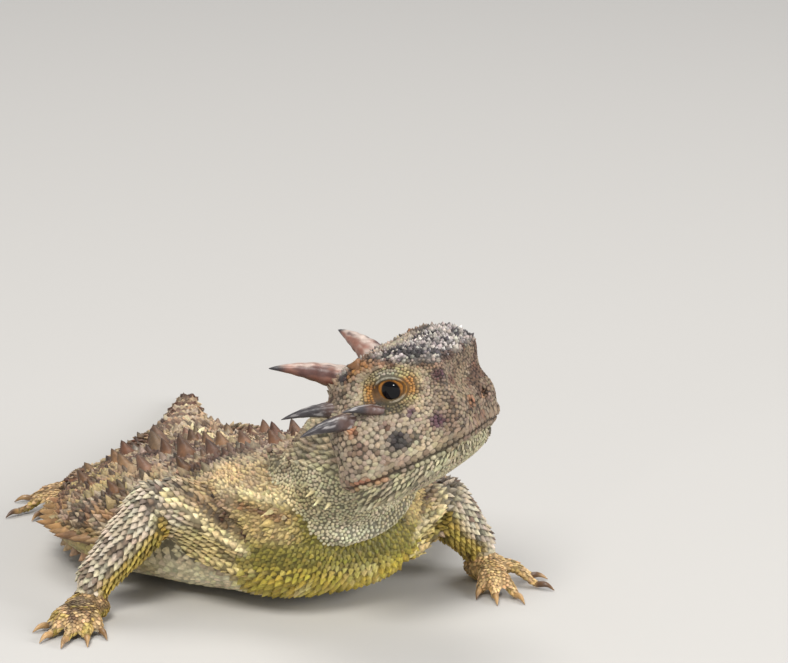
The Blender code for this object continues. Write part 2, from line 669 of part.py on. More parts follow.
def make_limbs(cores, neck, collection):
    """Both pairs of limbs. Gives the segments that the trunk's spines have to keep clear of."""
    near_trunk = []
    for side, sign in (("left", 1), ("right", -1)):
        def joint(place):
            return beside_back(place[1], sign * place[0], place[2])

        def body_cuts():
            return [new_object("body_cut", core.data.copy(), collection) for core in cores]

        elbow, wrist = mm(ELBOWS[side]), mm(WRISTS[side])
        upper = limb_segment("upper_arm_" + side, (joint(SHOULDER), elbow), UPPER_ARM_RADII,
                             body_cuts() + [grown(neck, collection)], collection)
        fore = limb_segment("forearm_" + side, (elbow, wrist), FOREARM_RADII,
                            [grown(upper, collection)] + body_cuts(), collection)
        make_digits("hand_" + side, wrist, sign, FINGERS[side], 3.2, 0.5, [grown(fore, collection)], collection)
        knee, ankle = joint(KNEE), joint(ANKLE)
        thigh = limb_segment("thigh_" + side, (joint(HIP), knee), THIGH_RADII, body_cuts(), collection)
        shank = limb_segment("shank_" + side, (knee, ankle), SHANK_RADII,
                             [grown(thigh, collection)] + body_cuts(), collection)
        make_digits("foot_" + side, ankle, sign, TOES, 4.2, 0.4,
                    [grown(shank, collection), grown(thigh, collection)] + body_cuts(), collection)
        near_trunk += [upper, fore, thigh, shank]
    return near_trunk


def main():
    for leftover in list(bpy.data.objects):
        bpy.data.objects.remove(leftover)
    lizard = bpy.data.collections.new("horned_lizard")
    bpy.context.scene.collection.children.link(lizard)
    torso, core = make_torso(lizard)
    tail_cores = make_tail(lizard)
    head = make_head(lizard)
    jaw = make_jaw(head, lizard)
    make_eyes(lizard)
    make_horns(head, lizard)
    neck = make_neck(core, head, jaw, lizard)
    near_trunk = make_limbs([core] + tail_cores, neck, lizard)
    combine(torso, [grown(limb, lizard, GAP - 0.02) for limb in near_trunk], "DIFFERENCE")
    for leftover in [core] + tail_cores:
        bpy.data.objects.remove(leftover)


main()
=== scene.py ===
"""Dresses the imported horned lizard: one continuous skin, its scales, spines, horns, eyes and claws, and a studio.

The frame gives every solid in metres; shapes here are worked out in millimetres, on the same axes, and scaled
down once. "Along" is a distance down the back, forwards below zero. The head has axes of its own: forwards (f),
to its left (l) and upwards (u) from the point midway between the eyes.
"""
import math
import random
from types import SimpleNamespace

import bmesh
import bpy
import numpy as np
from mathutils import Matrix, Vector
from mathutils.bvhtree import BVHTree
from mathutils.kdtree import KDTree
from numpy.random import default_rng


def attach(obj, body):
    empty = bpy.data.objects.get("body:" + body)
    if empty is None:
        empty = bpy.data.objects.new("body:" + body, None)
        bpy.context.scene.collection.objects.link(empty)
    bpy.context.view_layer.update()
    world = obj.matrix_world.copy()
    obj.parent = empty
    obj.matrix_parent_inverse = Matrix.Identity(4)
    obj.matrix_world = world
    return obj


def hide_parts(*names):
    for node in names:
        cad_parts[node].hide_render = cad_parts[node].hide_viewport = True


bl_info = {
    "name": "Horned lizard",
    "version": (1, 0, 0),
    "blender": (4, 5, 0),
    "location": "3D View > Sidebar > Lizard",
    "description": "Builds the skin, scales, spines, horns, eyes and claws of a life-size horned lizard",
    "category": "Object",
}

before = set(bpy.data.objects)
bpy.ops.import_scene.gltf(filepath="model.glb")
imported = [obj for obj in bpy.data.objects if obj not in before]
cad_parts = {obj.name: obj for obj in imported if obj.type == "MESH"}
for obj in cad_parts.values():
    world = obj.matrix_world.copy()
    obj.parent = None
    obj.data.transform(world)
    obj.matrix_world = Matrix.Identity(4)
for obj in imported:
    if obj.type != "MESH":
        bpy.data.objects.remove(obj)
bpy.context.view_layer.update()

MM = 0.001
SIDES = ("left", "right")

# The body's lines, as the solids have them.
BACK_TURN = ((-34, -8), (-24, -5), (-8, 0), (0, 0), (13, 6), (22, 14), (30, 18), (42, 20), (52, 22))
TRUNK_START, TRUNK_END, TAIL_END = -31.5, 19, 51.0
TRUNK_WIDTH = ((-31.5, 3.4), (-30.6, 6.4), (-28.5, 9), (-25, 10.8), (-21, 12.6), (-16, 16.6), (-10, 20.4), (-4, 21),
    (2, 18.9), (6, 15.4), (10, 12), (14, 9.4), (18, 7.2), (22, 5.6), (24, 5))
BACK_HEIGHT = ((-31.5, 11), (-30.6, 13.2), (-28.5, 15.4), (-24, 16.4), (-16, 14.6), (-8, 12.2), (0, 10.2), (6, 8.7),
    (12, 7.4), (18, 6.4), (24, 5.6))
EDGE_HEIGHT = ((-31.5, 8.6), (-28.5, 8.8), (-24, 8), (-18, 6.2), (-10, 4.8), (0, 4.3), (10, 4), (18, 3.5), (24, 3.1))
BELLY_HEIGHT = ((-31.5, 6.4), (-30.6, 4.6), (-28.5, 2.6), (-25, 1), (-20, 0.1), (-16, -0.25), (24, -0.25))
TAIL_WIDTH = ((16, 8.4), (19, 6.8), (22, 5.6), (27, 4.2), (33, 2.9), (42, 1.7), (47, 1.1), (50.4, 0.62), (51, 0.3))
TAIL_HEIGHT = ((16, 7), (19, 6.4), (22, 5.9), (27, 4.9), (33, 3.7), (42, 2.3), (47, 1.6), (50.4, 1), (51, 0.7))

HEAD_PLACE = np.array((6.0, -36.0, 26.0))
HEAD_YAW, HEAD_PITCH, HEAD_ROLL = 41.5, 17.8, -1.3
CROWN_H = ((-7.6, 1.1), (-6, 2.4), (-4, 3.5), (-2, 4), (0, 3.7), (2, 3.1), (4, 2.2), (5.2, 1.6), (6, 1.1))
BROW_W = ((-7.6, 4.8), (-6, 5.7), (-4, 6.4), (-2.4, 6.8), (0, 6.7), (2, 6.2), (4, 5.3), (5.2, 4.4), (6, 3.3))
BROW_H = ((-7.6, 1.2), (-6, 2.3), (-4, 3.2), (-2.4, 4.2), (-0.8, 4.4), (0, 4.2), (2, 3.4), (4, 2.5), (5.2, 2), (6, 1.2))
BROW_THICK = ((-7.6, 0.3), (-4, 0.5), (-2.4, 0.7), (0, 1.1), (2, 1.1), (4, 0.8), (6, 0.4))
ORBIT_W = ((-7.6, 5.9), (-6, 6.7), (-4, 6.9), (-2.4, 6.2), (0, 5.6), (2, 5.3), (4, 4.6), (5.2, 3.9), (6, 2.9))
ORBIT_H = ((-7.6, -1), (-6, -0.3), (-4, 0.4), (-2.4, 0.9), (0, 0.6), (2, 0.1), (4, -0.5), (5.2, -0.9), (6, -1.4))
CHEEK_W = ((-7.6, 7.8), (-6, 9.1), (-4, 9.4), (-2.4, 9), (0, 8), (2, 6.8), (4, 5.3), (5.2, 4.2), (6, 3.1))
CHEEK_H = ((-7.6, -4.6), (6, -4.1))
LIP_W = ((-7.6, 7.4), (-6, 8.4), (-4, 8.7), (-2.4, 8.2), (0, 7.3), (2, 6.1), (4, 4.7), (5.2, 3.6), (6, 2.7))
LIP_H = ((-7.6, -8.6), (-6, -8.4), (-3, -8.1), (0, -7.6), (2, -7.3), (4, -6.8), (5.2, -6.5), (6, -6.2))
BROW_SETBACK = ((-7.6, 0), (1.5, 0), (4, 0.4), (5.2, 0.75), (6, 1.1))
SNOUT_BULGE = ((3, 0), (5.4, 0.5))
HEAD_TABLES = (CROWN_H, BROW_W, BROW_H, BROW_THICK, ORBIT_W, ORBIT_H, CHEEK_W, CHEEK_H, LIP_W, LIP_H)
HEAD_RINGS = (-7.6, -7, -6, -4.8, -3.6, -2.4, -1, 0.6, 2, 3.2, 4.2, 4.9, 5.4)
SNOUT_CAPS = ((0.1, 0.78, 0.84), (0.15, 0.4, 0.5))
JAW_START, JAW_END = -7, 4.7
JAW_W = ((-7, 6.8), (-5, 7.6), (-1, 6.7), (2, 5.2), (4, 3), (4.7, 1.7))
JAW_H = ((-7, -10.6), (-5, -10.8), (-1, -10), (2, -8.9), (4, -8), (4.7, -7.5))
THROAT_SAG = 0.5
EYE_SIDE, EYE_RADIUS, LID_THICK, LID_GAP = 4, 2.35, 0.5, 0.3
LID_OPENING = (3.1, 2.15)  # what the lids leave of each eye
# half length, half height and thickness of each smooth rim
LID_RIMS = ((1.55, 1.08, 0.12), (1.86, 1.33, 0.09))
EYE_LOOK = (0.05, 1, -0.05)  # which way the left eye looks, on the head's axes
NOSTRIL = (5.65, 1.6, -3.5)
EAR = (-6.9, 8, -5.2)
HORNS = (
    ("occipital_horn", (-5.9, 3.7, 1.5), (-11.4, 7.3, 4.6), 1.5),
    ("rear_temporal_horn", (-6.2, 6, -0.9), (-10.7, 9, -0.2), 1),
    ("middle_temporal_horn", (-4.5, 7.6, -2), (-7.8, 11.4, -1.8), 1.1),
    ("front_temporal_horn", (-1.9, 7.3, -1.3), (-3.7, 9.6, -0.6), 0.65),
)
HORN_PROFILE = ((-0.5, 0.9), (0, 1), (0.15, 0.9), (0.45, 0.64), (0.75, 0.34), (0.93, 0.13), (1, 0.03))
HORN_SINK = 1.3  # how far a horn's root goes into the head

NECK_STATIONS = (
    ((0.2, -22.5, 9.5), 7, 5.4),
    ((0.7, -26.4, 12), 7.2, 6),
    ((1.6, -29.4, 15.2), 7, 6.2),
    ((2.9, -31.6, 18.4), 7, 6.1),
    ((4.4, -33.2, 20.4), 6.2, 4.8),
)
THROAT_FOLD = ((-5.6, -27, 14.2), (-4.6, -29.4, 12), (-2.2, -31.3, 9.8), (1, -32, 9.1), (4.6, -31.8, 10.2),
    (7.6, -30.6, 12.4), (8.8, -28.4, 14.8))
THROAT_FOLD_RADIUS = 1.0
THROAT_MIDDLE = (2, -30.5, 13)  # the chest's scales point away from it

SHOULDER = (6, -23, 6.8)
ELBOWS = {"right": (-14.9, -20.6, 11.2), "left": (13.1, -23.8, 9)}
WRISTS = {"right": (-22.1, -19.9, 3.2), "left": (18.2, -23, 3)}
HIP, KNEE, ANKLE = (3.6, 14.4, 3.7), (14.8, 6.6, 3), (11.4, 16, 2)
UPPER_ARM_RADII, FOREARM_RADII = (4.7, 3.9, 2.9), (2.8, 2.6, 2)
THIGH_RADII, SHANK_RADII = (3.6, 3.2, 2.6), (2.5, 2.3, 1.6)
FINGERS = {
    "right": ((-2, 3.6), (16, 5), (34, 5.6), (53, 5), (76, 3.4)),
    "left": ((-34, 3.8), (-17, 5.4), (2, 5.8), (40, 4.8), (68, 3.4)),
}
TOES = ((10, 3.2), (32, 4.6), (52, 6.2), (70, 7.2), (104, 4.4))
DIGIT_RADIUS, CLAW_LENGTH = 0.68, 2.0
PALMS = {"hand": (3.2, 0.5), "foot": (4.2, 0.4)}  # reach from the wrist, and how high the knuckles arch

# Large spines of the back: share of the half width, length, first and last place along, distance apart.
BACK_SPINE_ROWS = ((0.16, 1.9, -19, 14, 5.6), (0.38, 2.5, -17, 12, 5.4), (0.62, 2.2, -15, 9, 5.2),
    (0.82, 1.5, -13, 6, 4.8))
BACK_THORN_COUNT = 190
# Fringes of the flanks: angle round the trunk, length, first and last place along, distance apart.
FRINGE_ROWS = ((0, 2.2, -14.5, 8.6, 1.75), (-0.42, 1.3, -13, 6.5, 1.95))
TAIL_SPINE_ROWS = ((0.15, 1.6), (math.pi - 0.15, 1.6), (1.05, 1.2), (math.pi - 1.05, 1.2))  # angle and length
TAIL_SPINE_PITCH = 3.1
JAW_SPINE_COUNT, JAW_SPINE_PITCH = 15, 0.72
NECK_SPINE_ROWS = ((1, (14, 2, -10, -22), 1), (2, (36, 26, 16, 6), 0.95))  # station, angles and length
# How bright each group's spines are at foot and tip, partly their own colour and partly painted shade at the foot and
# painted highlight at the tip, and the colour they lean to.
SPINE_TONES = {"Back_spines": (0.75, 0.3, "rust_and_crease_shade"), "Back_thorns": (1, 0.55, None), "Fringe": (0.7, 1.1, "rust_and_crease_shade"),
    "Tail_spines": (0.8, 1.1, None), "Jaw_fringe": (0.5, 1.15, "throat"), "Brow_spines": (0.9, 0.6, "rust_and_crease_shade"),
    "Neck_spines": (0.7, 1.2, "ridge")}

# Folds of loose skin, given for the right side: region, line, thickness. The left ones follow its own elbow.
SOFT_FOLDS = (
    ("upper_arm", ((-15.4, -21.7, 12.3), (-14, -23.6, 11.2), (-12.4, -24.8, 9.8), (-10.7, -25.9, 8.3),
                   (-9, -27.3, 7)), 0.8),
    ("upper_arm", ((-15, -22, 8.2), (-12.6, -22.4, 6.2), (-10.7, -24.4, 5.3), (-8.6, -27, 4.6)), 0.75),
    ("trunk", ((-12.6, -22.4, 12), (-11.4, -24.2, 10.9), (-10, -25.9, 9.4)), 1.1),
    ("trunk", ((-9.8, -21.5, 13.1), (-9.5, -24.3, 11.9), (-8.5, -26.9, 9.8)), 1.4),
    ("trunk", ((-9.8, -24.2, 12.7), (-8.6, -25.9, 12.5), (-7.3, -27.9, 12.4), (-5.9, -29.3, 12.3)), 0.85),
)
# Lines on the skin of the right side: the line, half its width, its colour, and how deep it is pressed in. The dark
# lines pressed into the skin are painted shade of those folds; the pale ridge lines are the skin's own colour.
SKIN_LINES = ((((-15.4, -21.9, 12.7), (-14, -23.8, 11.6), (-12.4, -25, 10.2), (-10.7, -26.2, 8.7), (-9, -27.6, 7.4)),
    0.55, "ridge", 0), (((-14.6, -20.6, 13.4), (-13.2, -22.8, 12.6), (-11.6, -24.4, 11.2), (-9.9, -26.2, 9.6)), 0.42,
    "blotch_and_shade", 0.35), (((-10.9, -20.8, 13.4), (-10.8, -23.6, 12.3), (-9.4, -26.6, 9.8), (-8.4, -27.6, 8.6)), 0.34,
    "blotch_and_shade", 0.4), (((-15.3, -22, 7.4), (-12.4, -21.5, 5.4), (-10.5, -23.7, 4.3), (-8, -27.2, 3.6)), 0.42, "rust_and_crease_shade",
    0.45), (((-9.6, -25, 11.8), (-8.3, -26.7, 11.5), (-7, -28.7, 11.3), (-5.4, -30.2, 11)), 0.38, "rust_and_crease_shade", 0.35),
    (((-9.8, -24.3, 13.4), (-8.6, -26, 13.2), (-7.2, -28.1, 13), (-5.4, -29.8, 12.9)), 0.6, "ridge", 0),)

TRIED = {"trunk": 26, "head": 60, "throat": 70}  # random places tried for scales, to a square millimetre
VOXEL = 0.305  # the skin's mesh size
SKIN_DEPTH = 0.22  # how far the skin lies inside the solids, to leave room for its scales
FOREHEAD = ((-5, 0), (-3.2, 0.1), (-1.4, -0.4), (0, -0.1), (1.4, 0.45), (2.4, 0.3), (3.5, 0))
CROWN_RISE = ((-5, -0.1), (-2.5, -0.55), (0, -0.4), (2, 0.2), (4, 0.35), (5.4, 0.25), (6.5, 0))
PATCH = 0.003  # a scale's width on the bake map


def read(table, places):
    """Reads a smooth curve through (place, value) pairs at many places, level beyond its ends."""
    xs, ys = np.array(table, float).T
    last = len(xs) - 1
    before, after = np.maximum(np.arange(last + 1) - 1, 0), np.minimum(np.arange(last + 1) + 1, last)
    slopes = (ys[after] - ys[before]) / (xs[after] - xs[before])
    places = np.clip(np.asarray(places, float), xs[0], xs[-1])
    left = np.clip(np.searchsorted(xs, places, side="right") - 1, 0, last - 1)
    span = xs[left + 1] - xs[left]
    t = (places - xs[left]) / span
    return (
        (2 * t ** 3 - 3 * t ** 2 + 1) * ys[left]
        + (t ** 3 - 2 * t ** 2 + t) * span * slopes[left]
        + (3 * t ** 2 - 2 * t ** 3) * ys[left + 1]
        + (t ** 3 - t ** 2) * span * slopes[left + 1]
    )


LINE_STEP = 0.1
LINE = np.arange(-45, 65, LINE_STEP)
LINE_TURN = np.radians(read(BACK_TURN, LINE + LINE_STEP / 2))
LINE_X = np.concatenate(([0], np.cumsum(np.sin(LINE_TURN))[:-1])) * LINE_STEP
LINE_Y = np.concatenate(([0], np.cumsum(np.cos(LINE_TURN))[:-1])) * LINE_STEP
LINE_X -= np.interp(0, LINE, LINE_X)
LINE_Y -= np.interp(0, LINE, LINE_Y)


def beside_back(along, side, height):
    """Points so far to the lizard's left of the back's line."""
    turn = np.radians(read(BACK_TURN, along))
    x = np.interp(along, LINE, LINE_X) + side * np.cos(turn)
    y = np.interp(along, LINE, LINE_Y) - side * np.sin(turn)
    return np.stack(np.broadcast_arrays(x, y, height), -1)


def from_back(points):
    """Each point's place along the back, and how far to the left of it."""
    along = points[:, 1].copy()
    for _ in range(5):
        turn = np.radians(read(BACK_TURN, along))
        dx = points[:, 0] - np.interp(along, LINE, LINE_X)
        dy = points[:, 1] - np.interp(along, LINE, LINE_Y)
        along += dx * np.sin(turn) + dy * np.cos(turn)
    return along, dx * np.cos(turn) - dy * np.sin(turn)


HEAD_AXES = np.array(
    Matrix.Rotation(math.radians(HEAD_YAW), 3, "Z")
    @ Matrix.Rotation(math.radians(-HEAD_PITCH), 3, "X")
    @ Matrix.Rotation(math.radians(HEAD_ROLL), 3, "Y")
)


def on_head(points):
    """Points given as (forwards, left, up) from between the eyes, on the body's axes."""
    f, l, u = np.moveaxis(np.asarray(points, float), -1, 0)
    return HEAD_PLACE + np.stack((l, -f, u), -1) @ HEAD_AXES.T


def from_head(points):
    """The head's own forwards, left and up of points on the body's axes."""
    l, back, u = ((points - HEAD_PLACE) @ HEAD_AXES).T
    return -back, l, u


def head_way(direction):
    f, l, u = direction
    way = HEAD_AXES @ np.array((l, -f, u), float)
    return way / np.linalg.norm(way)


def unit(vectors):
    return vectors / np.maximum(np.linalg.norm(vectors, axis=-1, keepdims=True), 1e-9)


def ease(low, high, values):
    """0 up to low and 1 from high on, smooth between them."""
    t = np.clip((values - low) / (high - low), 0, 1)
    return t * t * (3 - 2 * t)


def hump(values, middle, width):
    """1 at the middle, falling off to both sides."""
    return np.exp(-((values - middle) / width) ** 2)


def noise(points, size, seed=0):
    """Soft random values from 0 to 1 that change over about the given size."""
    place = points / size + seed * 17.31
    cell = np.floor(place).astype(np.int64)
    t = place - cell
    t = t * t * (3 - 2 * t)
    total = np.zeros(len(points))
    for corner in range(8):
        step = np.array((corner & 1, corner >> 1 & 1, corner >> 2 & 1))
        i, j, k = (cell + step).T
        mixed = (i * 73856093) ^ (j * 19349663) ^ (k * 83492791) ^ (seed * 2654435)
        mixed = (mixed ^ (mixed >> 13)) * 1274126177 & 0x7FFFFFFF
        value = ((mixed ^ (mixed >> 16)) & 0xFFFF) / 0xFFFF
        total += value * np.prod(np.where(step, t, 1 - t), axis=1)
    return total


def rich_noise(points, size, seed=0):
    """Noise with finer noise over it."""
    return (noise(points, size, seed) + 0.5 * noise(points, size * 0.47, seed + 1) + 0.25
        * noise(points, size * 0.21, seed + 2)) / 1.75


def patches(points, size, seed, low, high):
    """1 in random patches of about the given size, 0 between them: a higher low makes them fewer."""
    return ease(low, high, rich_noise(points, size, seed))


# Forms: rings of points, from which both the skin and the rows of scales are made.


def trunk_ring(along, angles):
    """A section of the trunk or tail: angle 0 is the left flank, a quarter turn the back."""
    in_tail = along > TRUNK_END
    width = read(TAIL_WIDTH if in_tail else TRUNK_WIDTH, along)
    top = read(TAIL_HEIGHT if in_tail else BACK_HEIGHT, along)
    edge = read(EDGE_HEIGHT, along)
    bottom = read(BELLY_HEIGHT, along)
    if in_tail:
        edge = min(edge, 0.45 * top)
    c, s = np.cos(angles), np.sin(angles)
    above = s >= 0
    side = np.sign(c) * np.abs(c) ** np.where(above, 0.92, 0.7) * width
    height = np.where(above, edge + (top - edge) * np.abs(s) ** 0.95, edge - (edge - bottom) * np.abs(s) ** 0.8)
    return beside_back(along, side, np.maximum(height, 0.0))


def turns(count):
    return np.arange(count) / count * 2 * math.pi


def trunk_rings(step=0.6, sides=64):
    count = int((TAIL_END - TRUNK_START) / step) + 1
    return np.array([trunk_ring(along, turns(sides)) for along in np.linspace(TRUNK_START, TAIL_END, count)])


def head_ring(place):
    """The head's section at a place along the lip, from the crown round its left and back."""
    crown, brow_w, brow_h, thick, orbit_w, orbit_h, cheek_w, cheek_h, lip_w, lip_h = (
        float(read(table, place)) for table in HEAD_TABLES)
    brow_edge = brow_h - thick
    half = (
        (0.5 * brow_w, 0.7 * crown + 0.3 * brow_h),
        (0.84 * brow_w, brow_h),
        (brow_w, brow_edge),
        (0.4 * brow_w + 0.6 * orbit_w, 0.6 * brow_edge + 0.4 * orbit_h),
        (orbit_w, orbit_h),
        (0.45 * orbit_w + 0.55 * cheek_w, 0.55 * orbit_h + 0.45 * cheek_h),
        (cheek_w, cheek_h),
        (0.3 * cheek_w + 0.7 * lip_w + 0.25, 0.35 * cheek_h + 0.65 * lip_h),
        (lip_w, lip_h),
        (0.5 * lip_w, lip_h),
    )
    ring = np.array([(0, crown), *half, (0, lip_h)] + [(-w, h) for w, h in reversed(half)])
    share = (ring[:, 1] - lip_h) / (brow_h - lip_h)
    lean = read(SNOUT_BULGE, place) * 4 * share * (1 - share) - read(BROW_SETBACK, place) * share
    return np.column_stack((place + lean, ring))


def head_rings():
    rings = [head_ring(place) for place in HEAD_RINGS]
    front = rings[-1]
    middle = float(read(BROW_H, HEAD_RINGS[-1]) + read(LIP_H, HEAD_RINGS[-1])) / 2 - 0.3
    for ahead, wide, high in SNOUT_CAPS:
        cap = front.copy()
        cap[:, 0] += ahead
        cap[:, 1] *= wide
        cap[:, 2] = middle + high * (cap[:, 2] - middle)
        rings.append(cap)
    return on_head(np.array(rings))


def jaw_rings():
    """The lower jaw, its rim sunk into the upper head so that the skin is one."""
    rings = []
    for place in np.linspace(JAW_START, JAW_END, 11):
        rim_w, rim_h = float(read(LIP_W, place)) - 0.15, float(read(LIP_H, place)) + 0.6
        keel_w, keel_h = float(read(JAW_W, place)), float(read(JAW_H, place))
        half = ((0.5 * rim_w, rim_h), (rim_w, rim_h), (0.55 * rim_w + 0.5 * keel_w, 0.45 * rim_h + 0.55 * keel_h),
            (keel_w, keel_h), (0.5 * keel_w, keel_h - THROAT_SAG))
        ring = [(0, rim_h)] + list(half) + [(0, keel_h - 1.3 * THROAT_SAG)] + [(-w, h) for w, h in reversed(half)]
        rings.append([(place, w, h) for w, h in ring])
    return on_head(np.array(rings))


def neck_axes(station):
    """The ways ahead, across and up at one of the neck's stations."""
    centres = np.array([centre for centre, _, _ in NECK_STATIONS])
    across = unit(HEAD_AXES[:, 0] + np.array((1, 0, 0)))
    ahead = unit(centres[min(station + 1, len(centres) - 1)] - centres[max(station - 1, 0)])
    lateral = unit(across - ahead * (across @ ahead))
    return ahead, lateral, np.cross(lateral, ahead)


def neck_rings(sides=12):
    rings = []
    for station, (centre, wide, high) in enumerate(NECK_STATIONS):
        _, lateral, rise = neck_axes(station)
        angle = turns(sides)[:, None]
        rings.append(np.array(centre) + lateral * wide * np.cos(angle) + rise * high * np.sin(angle))
    return np.array(rings)


def tube_rings(points, radii, sides=16, flat=1.0, up=(0, 0, 1)):
    """Rings round a line, each square to it; flat is their height as a share of their width."""
    points = np.asarray(points, float)
    ways = unit(np.gradient(points, axis=0))
    across = unit(np.cross(ways, np.array(up, float)))
    rise = np.cross(across, ways)
    angle = turns(sides)[None, :, None]
    radii = np.asarray(radii, float)[:, None, None]
    return points[:, None] + radii * (across[:, None] * np.cos(angle) + flat * rise[:, None] * np.sin(angle))


def bent_line(points, steps):
    """A smooth line through points, with so many steps between each pair."""
    points = np.asarray(points, float)
    line = []
    for i in range(len(points) - 1):
        p0, p1 = points[max(i - 1, 0)], points[i]
        p2, p3 = points[i + 1], points[min(i + 2, len(points) - 1)]
        for t in np.arange(steps) / steps:
            line.append(0.5 * (2 * p1 + (p2 - p0) * t + (2 * p0 - 5 * p1 + 4 * p2 - p3) * t ** 2
                + (3 * p1 - p0 - 3 * p2 + p3) * t ** 3))
    return np.array(line + [points[-1]])


def limb_rings(start, end, radii, sides=28):
    """A limb segment with rounded ends."""
    first, middle, last = radii
    shares = np.linspace(-0.12, 1.12, 26)
    swell = ((-0.12, first * 0.6), (0.0, first), (0.45, middle), (0.85, last), (0.94, last * 0.97), (1.04, last * 0.78),
        (1.12, last * 0.3))
    start, end = np.array(start, float), np.array(end, float)
    return tube_rings(start + (end - start) * shares[:, None], read(swell, shares), sides)


def joint(side, place):
    """A limb's joint given as (side, along, height), on the body's axes."""
    across, along, height = place
    return beside_back(along, across if side == "left" else -across, height)


def limb_ends(side):
    """Start and end of each of a side's limb segments, with its radii."""
    elbow, wrist = np.array(ELBOWS[side]), np.array(WRISTS[side])
    knee, ankle = joint(side, KNEE), joint(side, ANKLE)
    return {
        "upper_arm": (joint(side, SHOULDER), elbow, UPPER_ARM_RADII),
        "forearm": (elbow, wrist, FOREARM_RADII),
        "thigh": (joint(side, HIP), knee, THIGH_RADII),
        "shank": (knee, ankle, SHANK_RADII),
    }


def outwards(side, degrees):
    angle = math.radians(degrees)
    return np.array(((1 if side == "left" else -1) * math.sin(angle), -math.cos(angle), 0))


def extremity(kind, side):
    """A hand's or foot's wrist or ankle, its digits and the way it points."""
    wrist = limb_ends(side)["forearm" if kind == "hand" else "shank"][1]
    digits = FINGERS[side] if kind == "hand" else TOES
    return wrist, digits, outwards(side, digits[2][0])


def digit_lines(kind, side):
    """For each digit of a hand or foot: the line down its middle, its radii and the way it points."""
    wrist, digits, ahead = extremity(kind, side)
    reach, lift = PALMS[kind]
    heel = np.array((wrist[0], wrist[1], 0))
    shares, heights = (-0.15, 0.15, 0.5, 0.8, 1.0), (1.3, 1.3 + lift, 1.0 + lift, 0.62, 0.5)
    for degrees, length in digits:
        way = outwards(side, degrees)
        knuckle = heel + ahead * reach * 0.62 + way * 1.2
        line = np.array([knuckle + way * length * s + np.array((0, 0, h)) for s, h in zip(shares, heights)])
        yield line, DIGIT_RADIUS * np.array((1.15, 1.1, 1.0, 0.92, 0.62)), way


def digit_rings(line, radii):
    """The rings of a digit, from its line and the radii at its points."""
    fine = bent_line(line, 4)
    return tube_rings(fine, np.interp(np.arange(len(fine)) / 4, np.arange(len(radii)), radii), 14)


def for_side(line, side):
    """A line given on the right side, moved to the other and after its elbow when asked."""
    line = np.array(line, float)
    if side == "right":
        return line
    mirrored = line * (-1, 1, 1)
    shift = np.array(ELBOWS["left"]) - np.array(ELBOWS["right"]) * (-1, 1, 1)
    reach = np.clip((mirrored[:, :1] - 8.0) / 6.0, 0, 1)
    return mirrored + shift * reach


def palm(kind, side):
    """A palm's centre, the way it points and its half sizes across, ahead and up."""
    wrist, _, ahead = extremity(kind, side)
    reach = PALMS[kind][0]
    return np.array((wrist[0], wrist[1], 1.3)) + ahead * reach / 2, ahead, (2.4, reach / 2 + 1.3, 1.55)


# Meshes


def linked(name, data):
    item = bpy.data.objects.new(name, data)
    bpy.context.scene.collection.objects.link(item)
    return item


def make_object(name, mesh, material, replaces=()):
    """Links a finished piece, which rides on the body; mesh is in metres and in place."""
    piece = linked(name, mesh)
    mesh.materials.append(material)
    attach(piece, "root")
    if replaces:
        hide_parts(*replaces)
    return piece


def wrap(bm, rings, label=0):
    """A closed form through rings of equally many points: a grid, welded along its seam and capped."""
    count, sides = len(rings), len(rings[0])
    grid = bmesh.ops.create_grid(bm, x_segments=sides, y_segments=count - 1, size=1.0)["verts"]
    loops = [grid[k * (sides + 1):(k + 1) * (sides + 1)] for k in range(count)]
    for row, ring in zip(loops, rings):
        for vert, point in zip(row, ring):
            vert.co = point
        row[-1].co = ring[0]
    faces = {face for vert in grid for face in vert.link_faces}
    for face in faces:
        face.material_index = label
    bmesh.ops.weld_verts(bm, targetmap={row[-1]: row[0] for row in loops})
    for row in (loops[0], loops[-1]):
        rim = [bm.edges.get((row[i], row[(i + 1) % sides])) for i in range(sides)]
        for face in bmesh.ops.contextual_create(bm, geom=rim)["faces"]:
            face.material_index = label


def ball(bm, centre, sizes, label=0, axes=Matrix.Identity(3), segments=24, rings=16):
    verts = bmesh.ops.create_uvsphere(bm, u_segments=segments, v_segments=rings, radius=1.0)["verts"]
    for face in {face for vert in verts for face in vert.link_faces}:
        face.material_index = label
    bmesh.ops.scale(bm, vec=sizes, verts=verts)
    bmesh.ops.transform(bm, matrix=Matrix.Translation(centre) @ axes.to_4x4(), verts=verts)


def finished(bm, name):
    bmesh.ops.recalc_face_normals(bm, faces=bm.faces)
    mesh = bpy.data.meshes.new(name)
    bm.to_mesh(mesh)
    bm.free()
    return mesh


def with_modifiers(mesh, *steps):
    """The mesh that modifiers give, each step being its type and its settings."""
    carrier = linked("carrier", mesh)
    for kind, settings in steps:
        modifier = carrier.modifiers.new(kind, kind)
        for key, value in settings.items():
            setattr(modifier, key, value)
    graph = bpy.context.evaluated_depsgraph_get()
    result = bpy.data.meshes.new_from_object(carrier.evaluated_get(graph))
    bpy.data.objects.remove(carrier)
    return result


def read_values(items, key, size, kind=np.float32):
    """One value of every item of a mesh, as rows of so many numbers."""
    values = np.empty(len(items) * size, kind)
    items.foreach_get(key, values)
    return values.reshape(-1, size)


def points_of(mesh):
    return read_values(mesh.vertices, "co", 3).astype(float)


def set_points(mesh, points):
    mesh.vertices.foreach_set("co", (points * MM).astype(np.float32).ravel())


def smooth_shaded(mesh):
    mesh.polygons.foreach_set("use_smooth", np.ones(len(mesh.polygons), bool))


def normals_of(mesh):
    return read_values(mesh.vertex_normals, "vector", 3).astype(float)


# The regions of the body, as the forms' faces are labelled.
LIMB_PARTS = ("upper_arm", "forearm", "hand", "thigh", "shank", "foot")
REGIONS = ("trunk", "head", "jaw", "neck", *LIMB_PARTS, "fold", "lid")
REGION = {name: index for index, name in enumerate(REGIONS)}
LEFT_LABEL = 20  # added on the lizard's left limbs


def region_is(labels, *names):
    return np.isin(labels % LEFT_LABEL, [REGION[name] for name in names])


